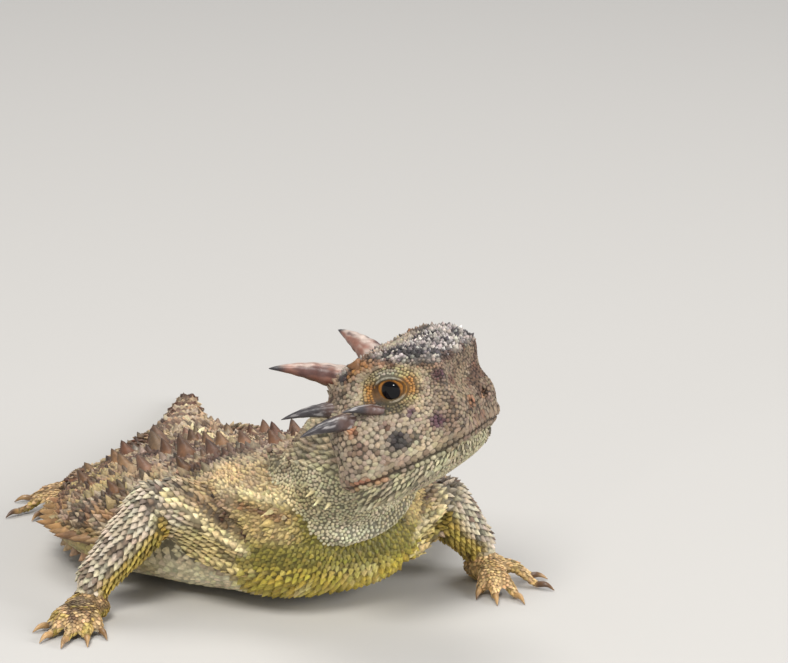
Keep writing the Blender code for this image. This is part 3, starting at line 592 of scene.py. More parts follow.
def body_forms():
    """Every fleshy form in millimetres, overlapping, with its region on its faces."""
    cages = bmesh.new()
    wrap(cages, head_rings(), REGION["head"])
    wrap(cages, jaw_rings(), REGION["jaw"])
    wrap(cages, neck_rings(), REGION["neck"])
    smooth = with_modifiers(finished(cages, "cages"), ("SUBSURF", {"levels": 2, "render_levels": 2}))
    bm = bmesh.new()
    bm.from_mesh(smooth)
    wrap(bm, trunk_rings(), REGION["trunk"])
    fold = bent_line(THROAT_FOLD, 6)
    shares = (np.arange(len(fold)) + 0.5) / len(fold)
    for shift, size in (((0, 0, 0), 1.0), ((0, 0.75, 1.2), 1.1), ((0, 1.3, 2.6), 1.2)):
        swell = size * THROAT_FOLD_RADIUS * (0.35 + 0.65 * np.sin(np.pi * shares))
        wrap(bm, tube_rings(fold + shift, swell, 16, up=(0, 1, 0.3)), REGION["fold"])
    lid = EYE_RADIUS + LID_GAP + LID_THICK
    for sign in (-1, 1):
        ball(bm, on_head((0, sign * EYE_SIDE, 0)), (lid, lid * 1.08, lid * 0.96), REGION["lid"],
            Matrix(HEAD_AXES.tolist()))
    for side in SIDES:
        left = LEFT_LABEL if side == "left" else 0
        for name, (start, end, radii) in limb_ends(side).items():
            wrap(bm, limb_rings(start, end, radii), REGION[name] + left)
        for region, line, thick in SOFT_FOLDS:
            fine = bent_line(for_side(line, side), 6)
            swell = thick * (0.4 + 0.6 * np.sin(np.pi * (np.arange(len(fine)) + 0.5) / len(fine)))
            wrap(bm, tube_rings(fine, swell, 12), REGION[region] + (left if region == "upper_arm" else 0))
        for kind in ("hand", "foot"):
            centre, ahead, sizes = palm(kind, side)
            axes = Vector(ahead).to_track_quat("Y", "Z").to_matrix()
            ball(bm, centre, sizes, REGION[kind] + left, axes)
            for line, radii, _ in digit_lines(kind, side):
                wrap(bm, digit_rings(line, radii), REGION[kind] + left)
    return finished(bm, "forms")


def tree_of(mesh):
    """A search tree over a mesh's faces."""
    points = [vert.co for vert in mesh.vertices]
    return BVHTree.FromPolygons(points, [tuple(face.vertices) for face in mesh.polygons])


def nearest_labels(points, tree, face_labels):
    return np.array([face_labels[tree.find_nearest(point)[2]] for point in points.tolist()])


def near_line(points, line):
    """Each point's distance from a line through points, and how far along it, from 0 to 1."""
    line = np.asarray(line, float)
    best = np.full(len(points), 1e9)
    share = np.zeros(len(points))
    for k, (a, b) in enumerate(zip(line, line[1:])):
        way = b - a
        t = np.clip((points - a) @ way / (way @ way), 0, 1)
        away = np.linalg.norm(points - a - t[:, None] * way, axis=1)
        closer = away < best
        best[closer] = away[closer]
        share[closer] = ((k + t) / (len(line) - 1))[closer]
    return best, share


def mouth_line():
    """The line of the mouth, from the right corner round the snout to the left one."""
    places = np.array([place for place in (-6.6, -5, -3, -1, 1, 3, 4.4, 5.2, 5.6)])
    wide, high = read(LIP_W, places) * 1.02, read(LIP_H, places) + 0.1
    wide[-1] *= 0.7
    right = np.column_stack((places, -wide, high))
    left = right[::-1] * (1, -1, 1)
    return on_head(np.vstack((right, (5.9, 0, float(read(LIP_H, 6)) + 0.1), left)))


def shape_skin(points, normals, labels):
    """Works the face into the skin: sockets, mouth, nostrils, ears and folds."""
    points = points - normals * SKIN_DEPTH
    f, l, u = from_head(points)
    on_face = region_is(labels, "head", "jaw", "lid", "neck")
    skull = region_is(labels, "head", "lid")
    ahead = read(FOREHEAD, u) * ease(3.2, 5, f) * skull
    rise = read(CROWN_RISE, f) * ease(1, 2.6, u) * skull
    points = points + ahead[:, None] * head_way((1, 0, 0)) + rise[:, None] * head_way((0, 0, 1))
    away = near_line(points, mouth_line())[0]
    groove = hump(away, 0, 0.26) * on_face
    above = hump(away, 0.75, 0.4) * on_face * (u > read(LIP_H, f))
    points = points + normals * (0.22 * above - 0.6 * groove)[:, None]
    for side in SIDES:
        for line, wide, _, deep in SKIN_LINES:
            near = hump(near_line(points, bent_line(for_side(line, side), 4))[0], 0, wide)
            points = points - normals * (deep * near * ~on_face)[:, None]
    for sign in (-1, 1):
        nostril = on_head((NOSTRIL[0], sign * NOSTRIL[1], NOSTRIL[2]))
        away = np.linalg.norm(points - nostril, axis=1)
        points = points + normals * (0.14 * hump(away, 0.8, 0.3) - 0.9 * hump(away, 0, 0.42))[:, None]
        ear = on_head((EAR[0], sign * (EAR[1] + 0.4), EAR[2]))
        hollow = ease(1.5, 0.6, np.linalg.norm((points - ear) / (1, 1, 1.5), axis=1))
        points = points - normals * (0.7 * hollow * on_face)[:, None]
        f, l, u = from_head(points)
        inside = (f / (LID_OPENING[0] / 2)) ** 2 + (u / (LID_OPENING[1] / 2)) ** 2
        facing = on_face * (l * sign > EYE_SIDE)
        pocket = (ease(1.3, 0.9, inside) * facing)[:, None]
        eye = on_head((0, sign * EYE_SIDE, 0))
        way = unit(points - eye)
        close = (ease(4.5, 1.2, inside) * facing)[:, None]
        points = points * (1 - close) + (eye + way * (EYE_RADIUS + 0.28)) * close
        points = points * (1 - pocket) + (eye + way * (EYE_RADIUS - 0.4)) * pocket
    wrinkle = (rich_noise(points, 1.4, 3) - 0.5) * 0.16 + (rich_noise(points, 3.4, 9) - 0.5) * 0.22
    calm = np.where(region_is(labels, "lid", "head", "jaw"), 0.35, 1)
    points = points + normals * (wrinkle * calm)[:, None]
    points[:, 2] = np.maximum(points[:, 2], 0.03)
    return points


# Colours, in plain sRGB numbers as a user would type them


def hue(name, description, default):
    return bpy.props.FloatVectorProperty(name=name, description=description, size=3, min=0.0, max=1.0,
        subtype="COLOR_GAMMA", default=default)


class LizardColours(bpy.types.PropertyGroup):
    """The colours of the markings."""

    crown: hue("Top of the head", "Bumps on top of the head", (0.545, 0.515, 0.49))
    face: hue("Face", "Granules of cheek and temple", (0.56, 0.50, 0.425))
    snout: hue("Snout", "Front of the snout", (0.42, 0.35, 0.28))
    eyelid: hue("Eyelid", "Disc of skin round the eye", (0.60, 0.42, 0.20))
    # Also used for painted shade in the nostril pits.
    ink_and_pit_shade: hue("Ink", "Darkest spots", (0.13, 0.11, 0.13))
    plum: hue("Plum", "Purple spots of the face", (0.28, 0.165, 0.21))
    throat: hue("Throat", "Throat, jaw and its fold", (0.665, 0.63, 0.505))
    chest: hue("Chest", "Keeled scales of the chest", (0.67, 0.595, 0.235))
    bib: hue("Bib", "Fine scales below the throat", (0.46, 0.42, 0.16))
    belly: hue("Belly", "Belly", (0.82, 0.78, 0.65))
    back: hue("Back", "Ground colour of the back", (0.63, 0.54, 0.42))
    # Also used for painted shade: in the shoulders' folds, the mouth's groove, under the brow and behind the horns.
    blotch_and_shade: hue("Blotch", "Dark blotches of neck and back", (0.33, 0.22, 0.16))
    # Also used for painted shade along the shoulders' folds and where the throat fold meets the neck.
    rust_and_crease_shade: hue("Rust", "Flank fringe and warm patches", (0.58, 0.40, 0.27))
    flank: hue("Flank", "Flanks", (0.61, 0.54, 0.35))
    arm: hue("Arm", "Outer side of the limbs", (0.74, 0.69, 0.60))
    sleeve: hue("Sleeve", "Inner side of the limbs", (0.66, 0.57, 0.27))
    hand: hue("Hand", "Hands and feet", (0.74, 0.61, 0.43))
    ridge: hue("Ridge", "Pale ridges of arm and collar", (0.86, 0.79, 0.60))
    shoulder: hue("Shoulder", "Loose skin of the shoulders", (0.78, 0.67, 0.49))
    lid_rim: hue("Lid rim", "Pale rims of the lids", (0.60, 0.59, 0.53))
    iris: hue("Iris", "Iris", (0.60, 0.40, 0.18))


def measure(name, description, millimetres):
    return bpy.props.FloatProperty(name=name, description=description, default=millimetres * MM,
        min=0.5 * millimetres * MM, unit="LENGTH", precision=5)


class LizardSizes(bpy.types.PropertyGroup):
    """The sizes of the scales and claws."""

    granule: measure("Granule", "Width of a cheek granule", 0.52)
    arm_scale: measure("Arm scale", "Width of an arm's keeled scale", 0.7)
    leg_scale: measure("Leg scale", "Width of a leg's keeled scale", 0.8)
    digit_scale: measure("Digit scale", "Width of a scale on hands and feet", 0.5)
    claw: measure("Claw", "Length of a claw", CLAW_LENGTH)


def size_of(name):
    """A size from the panel, in millimetres."""
    return round(getattr(bpy.context.scene.lizard_sizes, name) / MM, 4)


def linear(colour):
    """A typed sRGB colour as light."""
    c = np.array(colour, float)
    return np.where(c <= 0.04045, c / 12.92, ((c + 0.055) / 1.055) ** 2.4)


def palette():
    colours = bpy.context.scene.lizard_colours
    return SimpleNamespace(**{name: linear(getattr(colours, name)) for name in LizardColours.__annotations__})


def all_over(places, colour):
    return np.tile(colour, (len(places), 1))


def painted(base, colour, amount):
    """Colours moved towards one colour by an amount for each."""
    return base + (colour - base) * np.clip(amount, 0, 1)[:, None]


def paint(base, colour, amount):
    """Paints over colours where they are kept."""
    base[:] = painted(base, colour, amount)


def spot(places, centre, radius, soft=0.25):
    """1 within a radius of a centre, fading out past it."""
    away = np.linalg.norm((places - np.array(centre)) / np.array(radius), axis=1)
    return ease(1 + soft, 1 - soft, away)


CROWN_SPOTS = ((2.9, -2.5, 0.5), (2.1, 1.9, 0.6), (3.1, 2.9, 0.5), (3.1, -0.6, 0.55), (0.1, 0.9, 0.5),
    (-0.1, -2.3, 0.55), (4.6, 1.5, 0.4), (4.8, 2.4, 0.35), (-2.4, -1.2, 0.5), (-3.4, 2.6, 0.6), (1.4, -4.2, 0.4),
    (-1.8, 3.9, 0.5), (4.4, -1.6, 0.4))
# Marks of each side of the face: place on the head's axes, radius and colour.
FACE_MARKS = (
    ((4.6, 4.3, 0.1), 0.7, "plum"),
    ((5.2, 2.7, -0.7), 0.75, "blotch_and_shade"),
    ((5.5, 1.5, -3.5), 0.6, "rust_and_crease_shade"),
    ((3.7, 5.4, -3.9), 0.7, "plum"),
    ((0.2, 7.7, -4.6), 1.1, "ink_and_pit_shade"),
    ((-0.7, 7.6, -3.2), 0.55, "blotch_and_shade"),
    ((-1.3, 8.1, -2.5), 0.4, "ink_and_pit_shade"),
    ((-2.5, 8.7, -3.3), 0.4, "plum"),
    ((-2.4, 8.2, -1.2), 0.75, "ink_and_pit_shade"),
    ((-4, 8.2, -1.5), 0.75, "ink_and_pit_shade"),
    ((-3.8, 8.3, -2.9), 0.5, "rust_and_crease_shade"),
    ((-4.6, 6.2, 2.1), 0.65, "ink_and_pit_shade"),
    ((0.1, 6.5, 3), 0.4, "blotch_and_shade"),
    ((1.2, 6.2, 2.4), 0.4, "blotch_and_shade"),
    ((2.5, 5.8, 1.6), 0.4, "blotch_and_shade"),
    ((1.6, 6.4, -2.5), 0.5, "plum"),
)
BACK_BLOTCHES = ((-18, 0.30, 3.2), (-10, 0.36, 3.6), (-2, 0.38, 3.4), (5, 0.42, 2.6), (11, 0.45, 2))


def head_marking(at, labels, tones):
    f, l, u = from_head(at)
    w = np.abs(l)
    own = np.column_stack((f, w, u))  # both sides of the face on one
    brow = u - read(BROW_H, f) + read(BROW_THICK, f)
    mottle = rich_noise(at, 1.6, 21)
    c = all_over(at, tones.face)
    paint(c, tones.throat, 0.5 * patches(at, 2.6, 23, 0.55, 0.75))
    paint(c, tones.flank, 0.3 * patches(at, 2, 25, 0.5, 0.7) * ease(0, 3, f))
    paint(c, tones.snout, ease(2.4, 4.6, f) * ease(3.4, 1.6, u) * (0.5 + 0.5 * mottle))
    crown = ease(-0.5, 0.3, brow + 0.5 * (mottle - 0.5))
    paint(c, tones.crown, crown)
    under = hump(brow, -0.75, 0.5) * ease(4.6, 5.4, w)
    paint(c, tones.eyelid, under * ease(-4.8, -4, f) * ease(-0.6, -1.6, f) * 0.9)
    reach = ease(3, 4, w) * ease(-6.5, -5.2, f) * ease(5.2, 4.2, f)
    paint(c, tones.rust_and_crease_shade * 0.9, hump(brow, -0.5, 0.35) * reach * ease(0.35, 0.6, mottle) * 0.7)
    # A dark line just under the brow's edge, broken into bars: painted shadow of the brow ridge.
    bars = ease(0.42, 0.56, noise(at, 0.9, 26))
    paint(c, tones.blotch_and_shade * 0.5, hump(brow, -0.12, 0.36) * reach * (0.35 + 0.65 * bars))
    away = np.hypot(f / 1.3, u)
    lid = ease(2.6, 1.9, away + 0.7 * (mottle - 0.5)) * (w > 4.5)
    paint(c, tones.flank * 0.85, 0.8 * lid)
    paint(c, tones.eyelid, lid * ease(1.15, 0.55, np.abs(u)) * ease(2.8, 2.2, np.abs(f)))
    paint(c, tones.ink_and_pit_shade, 0.8 * spot(own, (-1.7, 6, -1.3), (0.9, 2, 0.6), 0.5))
    paint(c, tones.lid_rim, 0.8 * hump(u, 1.6, 0.45) * ease(1.7, 0.6, np.abs(f)) * lid)
    dusk = hump(u, -1.75, 0.5) * ease(2.4, 1, np.abs(f + 0.4)) * (w > 4.5)
    paint(c, tones.ink_and_pit_shade, 0.75 * dusk)
    ragged = (0.65 + mottle)[:, None]
    for f0, l0, radius in CROWN_SPOTS:
        paint(c, tones.ink_and_pit_shade, 0.9 * crown * spot(np.column_stack((f, l)), (f0, l0), radius * ragged, 0.3))
    torn = rich_noise(at, 0.9, 28)[:, None]
    for centre, radius, tone in FACE_MARKS:
        paint(c, getattr(tones, tone), 0.92 * spot(own, centre, radius * (0.5 + 1 * torn), 0.35))
    paint(c, tones.blotch_and_shade, 0.6 * patches(at, 1.1, 27, 0.6, 0.72) * (1 - crown))
    # Paler patches on the crown, partly paler scales and partly painted highlight on its bumps.
    paint(c, tones.crown * 1.7, 0.7 * patches(at, 0.9, 35, 0.5, 0.6) * crown)
    paint(c, tones.ink_and_pit_shade, 0.9 * patches(at, 0.75, 29, 0.54, 0.60) * crown)
    paint(c, tones.blotch_and_shade * 0.7, 0.8 * patches(at, 1, 30, 0.5, 0.62) * ease(3.4, 4.6, f) * ease(3, 1.5, u)
        * ease(-5, -3.5, u))
    lip = read(LIP_H, f)
    paint(c, tones.snout * 1.25, 0.6 * hump(u - lip, 0.6, 0.45) * ease(-4, -1.5, f) * (w > 1))
    jaw = region_is(labels, "jaw") | ((u < lip - 0.1) & region_is(labels, "head"))
    grey = painted(all_over(at, tones.throat), tones.face, 0.7 * patches(at, 1.5, 31, 0.45, 0.7))
    paint(grey, tones.rust_and_crease_shade, 0.5 * patches(at, 1.3, 33, 0.66, 0.78))
    c = np.where(jaw[:, None], grey, c)
    away = near_line(at, mouth_line())[0]
    # Dark nostril pits and a dark line along the mouth's groove: painted shade in these hollows.
    paint(c, tones.ink_and_pit_shade * 0.5, spot(own, NOSTRIL, 0.5, 0.3))
    paint(c, tones.blotch_and_shade * 0.5, 0.9 * hump(away, 0, 0.28))
    corner = ease(-1.6, -2.6, f) * ease(0.85, 0.5, away) * ease(0.4, 0.6, noise(at, 0.8, 34))
    return painted(c, tones.rust_and_crease_shade * (0.95, 0.65, 0.55), 0.65 * corner)


def trunk_marking(at, tones):
    along, side = from_back(at)
    off, z = np.abs(side), at[:, 2]
    in_tail = along > TRUNK_END
    width = np.where(in_tail, read(TAIL_WIDTH, along), read(TRUNK_WIDTH, along))
    top = np.where(in_tail, read(TAIL_HEIGHT, along), read(BACK_HEIGHT, along))
    edge = np.minimum(read(EDGE_HEIGHT, along), np.where(in_tail, 0.45 * top, 99))
    above = ease(-0.05, 0.2, (z - edge) / np.maximum(top - edge, 0.3))
    share = off / np.maximum(width, 0.5)
    mottle = rich_noise(at, 2.4, 41)
    upper = all_over(at, tones.back)
    paint(upper, tones.face * 1.2, 0.6 * patches(at, 3, 43, 0.5, 0.66))
    paint(upper, tones.rust_and_crease_shade, 0.5 * ease(0.55, 0.7, mottle))
    warped = np.column_stack((along + 4.5 * (rich_noise(at, 3.2, 42) - 0.5),
        off + 4.5 * (rich_noise(at, 3.2, 44) - 0.5)))
    for place, part, radius in BACK_BLOTCHES:
        middle = part * float(read(TRUNK_WIDTH, place))
        blot = spot(warped, (place, middle), np.array((0.75, 1.15)) * radius * (0.6 + 0.6 * mottle[:, None]))
        pale = spot(warped, (place + 1.6, middle), np.array((0.85, 1.25)) * radius * (0.65 + 0.6 * mottle[:, None]))
        paint(upper, tones.crown, 0.6 * pale)
        paint(upper, tones.blotch_and_shade, 0.85 * blot)
    paint(upper, tones.blotch_and_shade, 0.7 * ease(0.2, 0.7, np.sin(along * 0.95)) * in_tail)
    paint(upper, tones.ridge, 0.8 * ease(0.06, 0.03, share) * (along > -24))
    paint(upper, tones.flank * 1.15, 0.75 * ease(0.6, 0.8, share) * ease(9, 4, along)
        * patches(at, 2.2, 50, 0.44, 0.56))
    paint(upper, tones.rust_and_crease_shade, ease(0.86, 0.99, share) * 0.75 * (along > -16))
    paint(upper, tones.face * 1.4, 0.75 * patches(at, 1.8, 46, 0.56, 0.64))
    paint(upper, tones.blotch_and_shade, 0.85 * patches(at, 2.1, 45, 0.54, 0.62))
    paint(upper, tones.blotch_and_shade * 0.5, 0.8 * patches(at, 1, 48, 0.58, 0.66))
    low = all_over(at, tones.belly)
    front = ease(-20.5, -23.5, along + 0.5 * np.maximum(off - 5, 0) + 1.5 * (mottle - 0.5))
    fine = ease(4.8, 6.6, z + 0.8 * (mottle - 0.5)) * ease(-22, -26, along)
    yellow = painted(all_over(at, tones.chest), tones.bib, fine)
    # Lighter and darker rays on the bib: painted light and shade of radiating grooves.
    groove_shade = np.sin(48 * np.arctan2(at[:, 0] - THROAT_MIDDLE[0], THROAT_MIDDLE[2] - z))
    yellow = yellow * (1 + 0.22 * groove_shade * fine)[:, None]
    paint(yellow, tones.belly, 0.35 * patches(at, 2.2, 47, 0.5, 0.75) * (1 - fine))
    low = yellow * front[:, None] + low * (1 - front[:, None])
    paint(low, tones.flank, ease(0.7, 0.95, share) * (1 - front) * ease(1, 3.5, z) * ease(-19, -14, along))
    paint(low, tones.blotch_and_shade, 0.35 * patches(at, 1.7, 49, 0.68, 0.78) * (1 - front))
    shoulder = ease(-17, -20, along) * ease(5, 8, off) * ease(8, 9.5, z)
    soft = painted(all_over(at, tones.shoulder), tones.back, ease(0.4, 0.65, mottle))
    breast = ease(-24, -26.5, along) * ease(13.5, 12, z)
    blend = (above * (1 - shoulder) * (1 - breast))[:, None]
    paint(low, soft, shoulder * (1 - 0.6 * breast))
    paint(low, tones.ridge * (0.7, 0.62, 0.45), 0.7 * breast * ease(5, 7, off) * ease(7.5, 9.5, z)
        * ease(0.25, 0.5, mottle))
    return skin_lines(low * (1 - blend) + upper * blend, at, tones)


def skin_lines(colours, at, tones):
    """Adds the lines of both shoulders: pale ridges, and darker lines along the pressed-in folds, which are painted
    shade.
    """
    for side in SIDES:
        for line, wide, tone, _ in SKIN_LINES:
            near = hump(near_line(at, bent_line(for_side(line, side), 4))[0], 0, 1.25 * wide)
            strength = 0.6 + 0.7 * noise(at, 1.1, 51)
            colours = painted(colours, getattr(tones, tone) * (1 if tone == "ridge" else 0.7), near * strength)
    return colours


def limb_marking(at, normals, labels, tones):
    left = labels >= LEFT_LABEL
    inward = np.column_stack((np.where(left, -0.85, 0.85), np.full(len(at), -0.3), np.full(len(at), -0.45)))
    mottle = rich_noise(at, 1.8, 61)
    inner = ease(0.05, 0.55, (normals * inward).sum(1) + 0.5 * (mottle - 0.5))
    c = all_over(at, tones.arm)
    paint(c, tones.back, 0.5 * patches(at, 2.2, 63, 0.5, 0.7))
    paint(c, tones.blotch_and_shade, 0.75 * patches(at, 0.9, 65, 0.58, 0.66))
    upper = region_is(labels, "upper_arm")
    soft = painted(all_over(at, tones.shoulder), tones.back, ease(0.4, 0.65, mottle))
    paint(c, soft, upper * ease(14.5, 11.5, np.abs(at[:, 0])) * 0.9)
    cream = 0.55 * tones.ridge + 0.45 * tones.chest
    paint(c, cream, upper * 0.85 * ease(10, 8, at[:, 2]) * ease(16, 13, np.abs(at[:, 0])))
    hind = region_is(labels, "thigh", "shank", "foot")
    paint(c, tones.back, 0.8 * hind)
    paint(c, tones.blotch_and_shade, 0.8 * hind * patches(at, 2, 64, 0.52, 0.6))
    for shift in (0, 5.5, 11):
        band = np.abs((at[:, 1] * 0.8 + np.abs(at[:, 0])) - 12 - shift)
        paint(c, tones.blotch_and_shade, 0.6 * hind * ease(1.3, 0.5, band + mottle))
    paint(c, tones.sleeve, inner)
    hand = region_is(labels, "hand", "foot")
    paint(c, tones.hand, hand * ease(-0.2, 0.3, normals[:, 2]) * 0.9)
    paint(c, tones.sleeve, 0.75 * hand * patches(at, 1.1, 67, 0.5, 0.7))
    paint(c, tones.blotch_and_shade, 0.5 * hand * ~left * patches(at, 0.9, 69, 0.6, 0.7))
    # The left hand painted brighter than the right: painted light, as if it lay in stronger light.
    paint(c, tones.hand * 1.2 + tones.ridge * 0.15, 0.75 * hand * left * (at[:, 1] < -10)
        * (0.5 + 0.5 * ease(0.35, 0.6, mottle)))
    paint(c, tones.blotch_and_shade * 0.8, 0.8 * hand * ~left * patches(at, 0.6, 70, 0.52, 0.6) * ease(-21, -23, at[:, 1])
        * ease(1, 1.8, at[:, 2]))
    paint(c, tones.ink_and_pit_shade, 0.7 * spot(at, (-24.2, -22.2, 2.5), (1, 1, 2), 0.5))
    return np.where(upper[:, None], skin_lines(c, at, tones), c)


def neck_marking(at, labels, tones):
    mottle = rich_noise(at, 1.7, 81)
    _, y, z = at.T
    rise = ease(16, 17.6, z + 1.2 * (mottle - 0.5))
    c = all_over(at, tones.throat)
    paint(c, tones.belly, 0.6 * patches(at, 2, 83, 0.45, 0.7))
    upper = painted(all_over(at, tones.back), tones.throat, 0.3 + mottle)
    c = c * (1 - rise[:, None]) + upper * rise[:, None]
    back = ease(-29.5, -27, y) * rise
    paint(c, tones.back, 0.8 * back)
    paint(c, tones.blotch_and_shade, 0.8 * np.maximum(back, 0.5 * rise) * patches(at, 1.8, 86, 0.5, 0.6))
    paint(c, tones.face * 1.3, 0.5 * rise * patches(at, 1.3, 88, 0.52, 0.6))
    # Dark patches on both sides of the neck behind the head: the neck's dark blotches together with painted shadow
    # between the horns and the neck.
    for sign in (-1, 1):
        blot = spot(at, (1.2 + sign * 6.2, -27.6, 17.6), 2.6 * (0.7 + 0.7 * mottle[:, None]))
        paint(c, 0.9 * tones.blotch_and_shade, 0.75 * blot * patches(at, 1.2, 85, 0.25, 0.6))
    paint(c, tones.belly * (0.94, 0.99, 1.07), 0.5 * spot(at, (1, -32, 9.2), (2.8, 2.5, 1.7), 0.5))
    for sign in (-1, 1):
        paint(c, tones.ridge * 1.05, 0.8 * spot(at, (1.6 + sign * 6.8, -29.6, 12.9), 1.5, 0.4))
        paint(c, tones.flank, 0.7 * spot(at, (1.6 + sign * 4.8, -31.2, 13.4), 1.6, 0.5))
    # A warm dark line where the throat fold meets the neck: painted shade.
    crease_shade = hump(near_line(at, np.array(THROAT_FOLD) + (0, 0.6, 1.25))[0], 0, 0.55)
    return painted(c, tones.rust_and_crease_shade, 0.75 * crease_shade * ~region_is(labels, "fold"))


def marking(places, normals, labels):
    """The lizard's colours at places on its skin, the same for the skin and what grows from it."""
    tones = palette()
    colours = trunk_marking(places, tones)
    for names, other in ((("head", "jaw", "lid"), lambda: head_marking(places, labels, tones)),
            (("neck", "fold"), lambda: neck_marking(places, labels, tones)),
            (LIMB_PARTS, lambda: limb_marking(places, normals, labels, tones))):
        here = region_is(labels, *names)
        colours[here] = other()[here]
    return colours


# Scales


def smooth_ring(bm, ring, radius, height):
    """Extrudes a ring of edges to a new one of that radius and height."""
    made = bmesh.ops.extrude_edge_only(bm, edges=ring)["geom"]
    verts = [item for item in made if isinstance(item, bmesh.types.BMVert)]
    for vert in verts:
        way = vert.co.xy.normalized()
        vert.co = (way.x * radius, way.y * radius, height)
    return [item for item in made if isinstance(item, bmesh.types.BMEdge) and all(vert in verts for vert in item.verts)]


def stack(levels, sides, point=None):
    """A closed round form through (radius, height) levels, with a point on top where asked."""
    bm = bmesh.new()
    verts = bmesh.ops.create_circle(bm, segments=sides, radius=levels[0][0], cap_ends=True)["verts"]
    bmesh.ops.translate(bm, vec=(0, 0, levels[0][1]), verts=verts)
    ring = list(bm.edges)
    for radius, height in levels[1:]:
        ring = smooth_ring(bm, ring, radius, height)
    cap = bmesh.ops.contextual_create(bm, geom=ring)["faces"]
    if point is not None:
        centre = bmesh.ops.poke(bm, faces=cap)["verts"][0]
        centre.co.z = point
    return bm


def template_of(bm):
    """A small shape's points, face corners, face sizes and smoothness, ready to be repeated."""
    bmesh.ops.recalc_face_normals(bm, faces=bm.faces)
    bm.verts.index_update()
    points = np.array([vert.co[:] for vert in bm.verts])
    corners = [vert.index for face in bm.faces for vert in face.verts]
    sizes = [len(face.verts) for face in bm.faces]
    bm.free()
    return points, np.array(corners), np.array(sizes)


def granule_shape(sides=7):
    return template_of(stack(((0.5, -0.3), (0.47, 0.12), (0.3, 0.36)), sides, 0.42))


def keeled_shape(point=0.75, keel=0.46, sides=8):
    """A leaf-shaped scale with a keel down its middle and a raised tip."""
    bm = stack(((0.42, -0.3), (0.5, 0.08)), sides, keel)
    for vert in bm.verts:
        x, y, z = vert.co
        if y > 0:
            share = y / 0.5
            vert.co.x = x * (1 - 0.5 * share ** 1.6)
            vert.co.y = y * (1 + point * share)
            if z > 0:
                vert.co.z = z + 0.26 * share * share
        elif z > 0:
            vert.co.z = z - 0.16 * (-y / 0.5)
    return template_of(bm)


def spine_shape(bend=0.25, sides=8):
    """A ribbed, pointed spine of unit height that leans over towards its tip."""
    bm = stack(((0.54, -0.3), (0.54, 0.0), (0.38, 0.22), (0.25, 0.52), (0.12, 0.82)), sides, 1.0)
    for vert in bm.verts:
        vert.co.xy *= 1 + 0.14 * math.cos(4 * math.atan2(vert.co.y, vert.co.x))
        vert.co.y += bend * max(vert.co.z, 0) ** 2
    return template_of(bm)


class Places:
    """Where scales stand: their roots, frames, sizes and colours."""

    def __init__(self, roots, normals, lies, widths, lengths, heights, labels, faces, tilt=0.0):
        self.roots, self.normals, self.labels, self.faces = roots, normals, labels, faces
        self.across = unit(np.cross(lies, normals))
        self.lies = np.cross(normals, self.across)
        ones = np.ones(len(roots))
        self.widths, self.lengths = ones * widths, ones * lengths
        self.heights, self.tilt = ones * heights, ones * tilt

    def only(self, keep):
        some = object.__new__(Places)
        for key, value in self.__dict__.items():
            setattr(some, key, value[keep])
        return some


def scatter(name, template, places, material, tip=1.22, base=0.34, flat=True, seed=1, pepper=0.06, span=0.45,
        tint=None, vary=0.15, mottle=0.0):
    """One joined mesh of a shape repeated at places, coloured by the markings, darker at each shape's foot and lighter
    at its top, with its bake map.
    """
    points, corners, sizes = template
    count = len(places.roots)
    local = points[None] * np.stack((places.widths, places.lengths, places.heights), 1)[:, None]
    local[:, :, 2] += np.maximum(local[:, :, 1], -9) * places.tilt[:, None]
    placed = (places.roots[:, None] + local[:, :, :1] * places.across[:, None] + local[:, :, 1:2] * places.lies[:, None]
        + local[:, :, 2:] * places.normals[:, None])
    placed[:, :, 2] = np.maximum(placed[:, :, 2], 0.0)
    mesh = bpy.data.meshes.new(name)
    mesh.vertices.add(count * len(points))
    set_points(mesh, placed)
    offsets = (np.arange(count) * len(points))[:, None]
    mesh.loops.add(count * len(corners))
    mesh.loops.foreach_set("vertex_index", (corners[None] + offsets).astype(np.int32).ravel())
    mesh.polygons.add(count * len(sizes))
    starts = np.concatenate(([0], np.cumsum(sizes)[:-1]))
    loop_offsets = (np.arange(count) * len(corners))[:, None]
    mesh.polygons.foreach_set("loop_start", (starts[None] + loop_offsets).astype(np.int32).ravel())
    mesh.polygons.foreach_set("use_smooth", np.full(count * len(sizes), not flat))
    mesh.update(calc_edges=True)
    chance = default_rng(seed)
    colours = marking(places.roots, places.normals, places.labels)
    if tint is not None:
        colours = colours * 0.35 + getattr(palette(), tint) * 0.65
    shade = chance.normal(1.0, vary, (count, 1)).clip(0.6, 1.4) * np.where(chance.random((count, 1)) < pepper, 0.4, 1.0)
    colours = colours * shade * chance.uniform(0.94, 1.06, (count, 3))
    # From base at the foot to tip at the top of each shape: painted shade in the gaps between the scales and a painted
    # highlight on their tops.
    reach = np.clip((points[:, 2] + 0.05) / span, 0, 1)[None, :, None]
    shades = (colours[:, None] * (base + (tip - base) * reach)).reshape(-1, 3)
    if mottle:
        shades = shades * (1 + mottle * (rich_noise(placed.reshape(-1, 3), 0.6, 7) - 0.5))[:, None]
    store_colours(mesh, shades)
    at = BODY["face_uv"][places.faces]
    patch = points[corners][:, :2] * PATCH
    uv = at[:, None] + patch[None]
    layer = mesh.uv_layers.new(name="OFBake")
    layer.uv.foreach_set("vector", np.clip(uv, 0, 1).astype(np.float32).ravel())
    return make_object(name, mesh, material)


def store_colours(mesh, colours):
    attribute = mesh.color_attributes.new("marking", "FLOAT_COLOR", "POINT")
    full = np.ones((len(colours), 4), np.float32)
    full[:, :3] = np.clip(colours, 0, 1)
    attribute.data.foreach_set("color", full.ravel())


# The skin, which everything else stands on

# The finished skin's search tree, and each of its faces' region, normal, middle and place on the bake map
BODY = {}
FLESH = ("head", "lower_jaw", "neck", "torso", "tail_base", "tail_end",
    *(f"{name}_{side}" for side in SIDES for name in LIMB_PARTS))


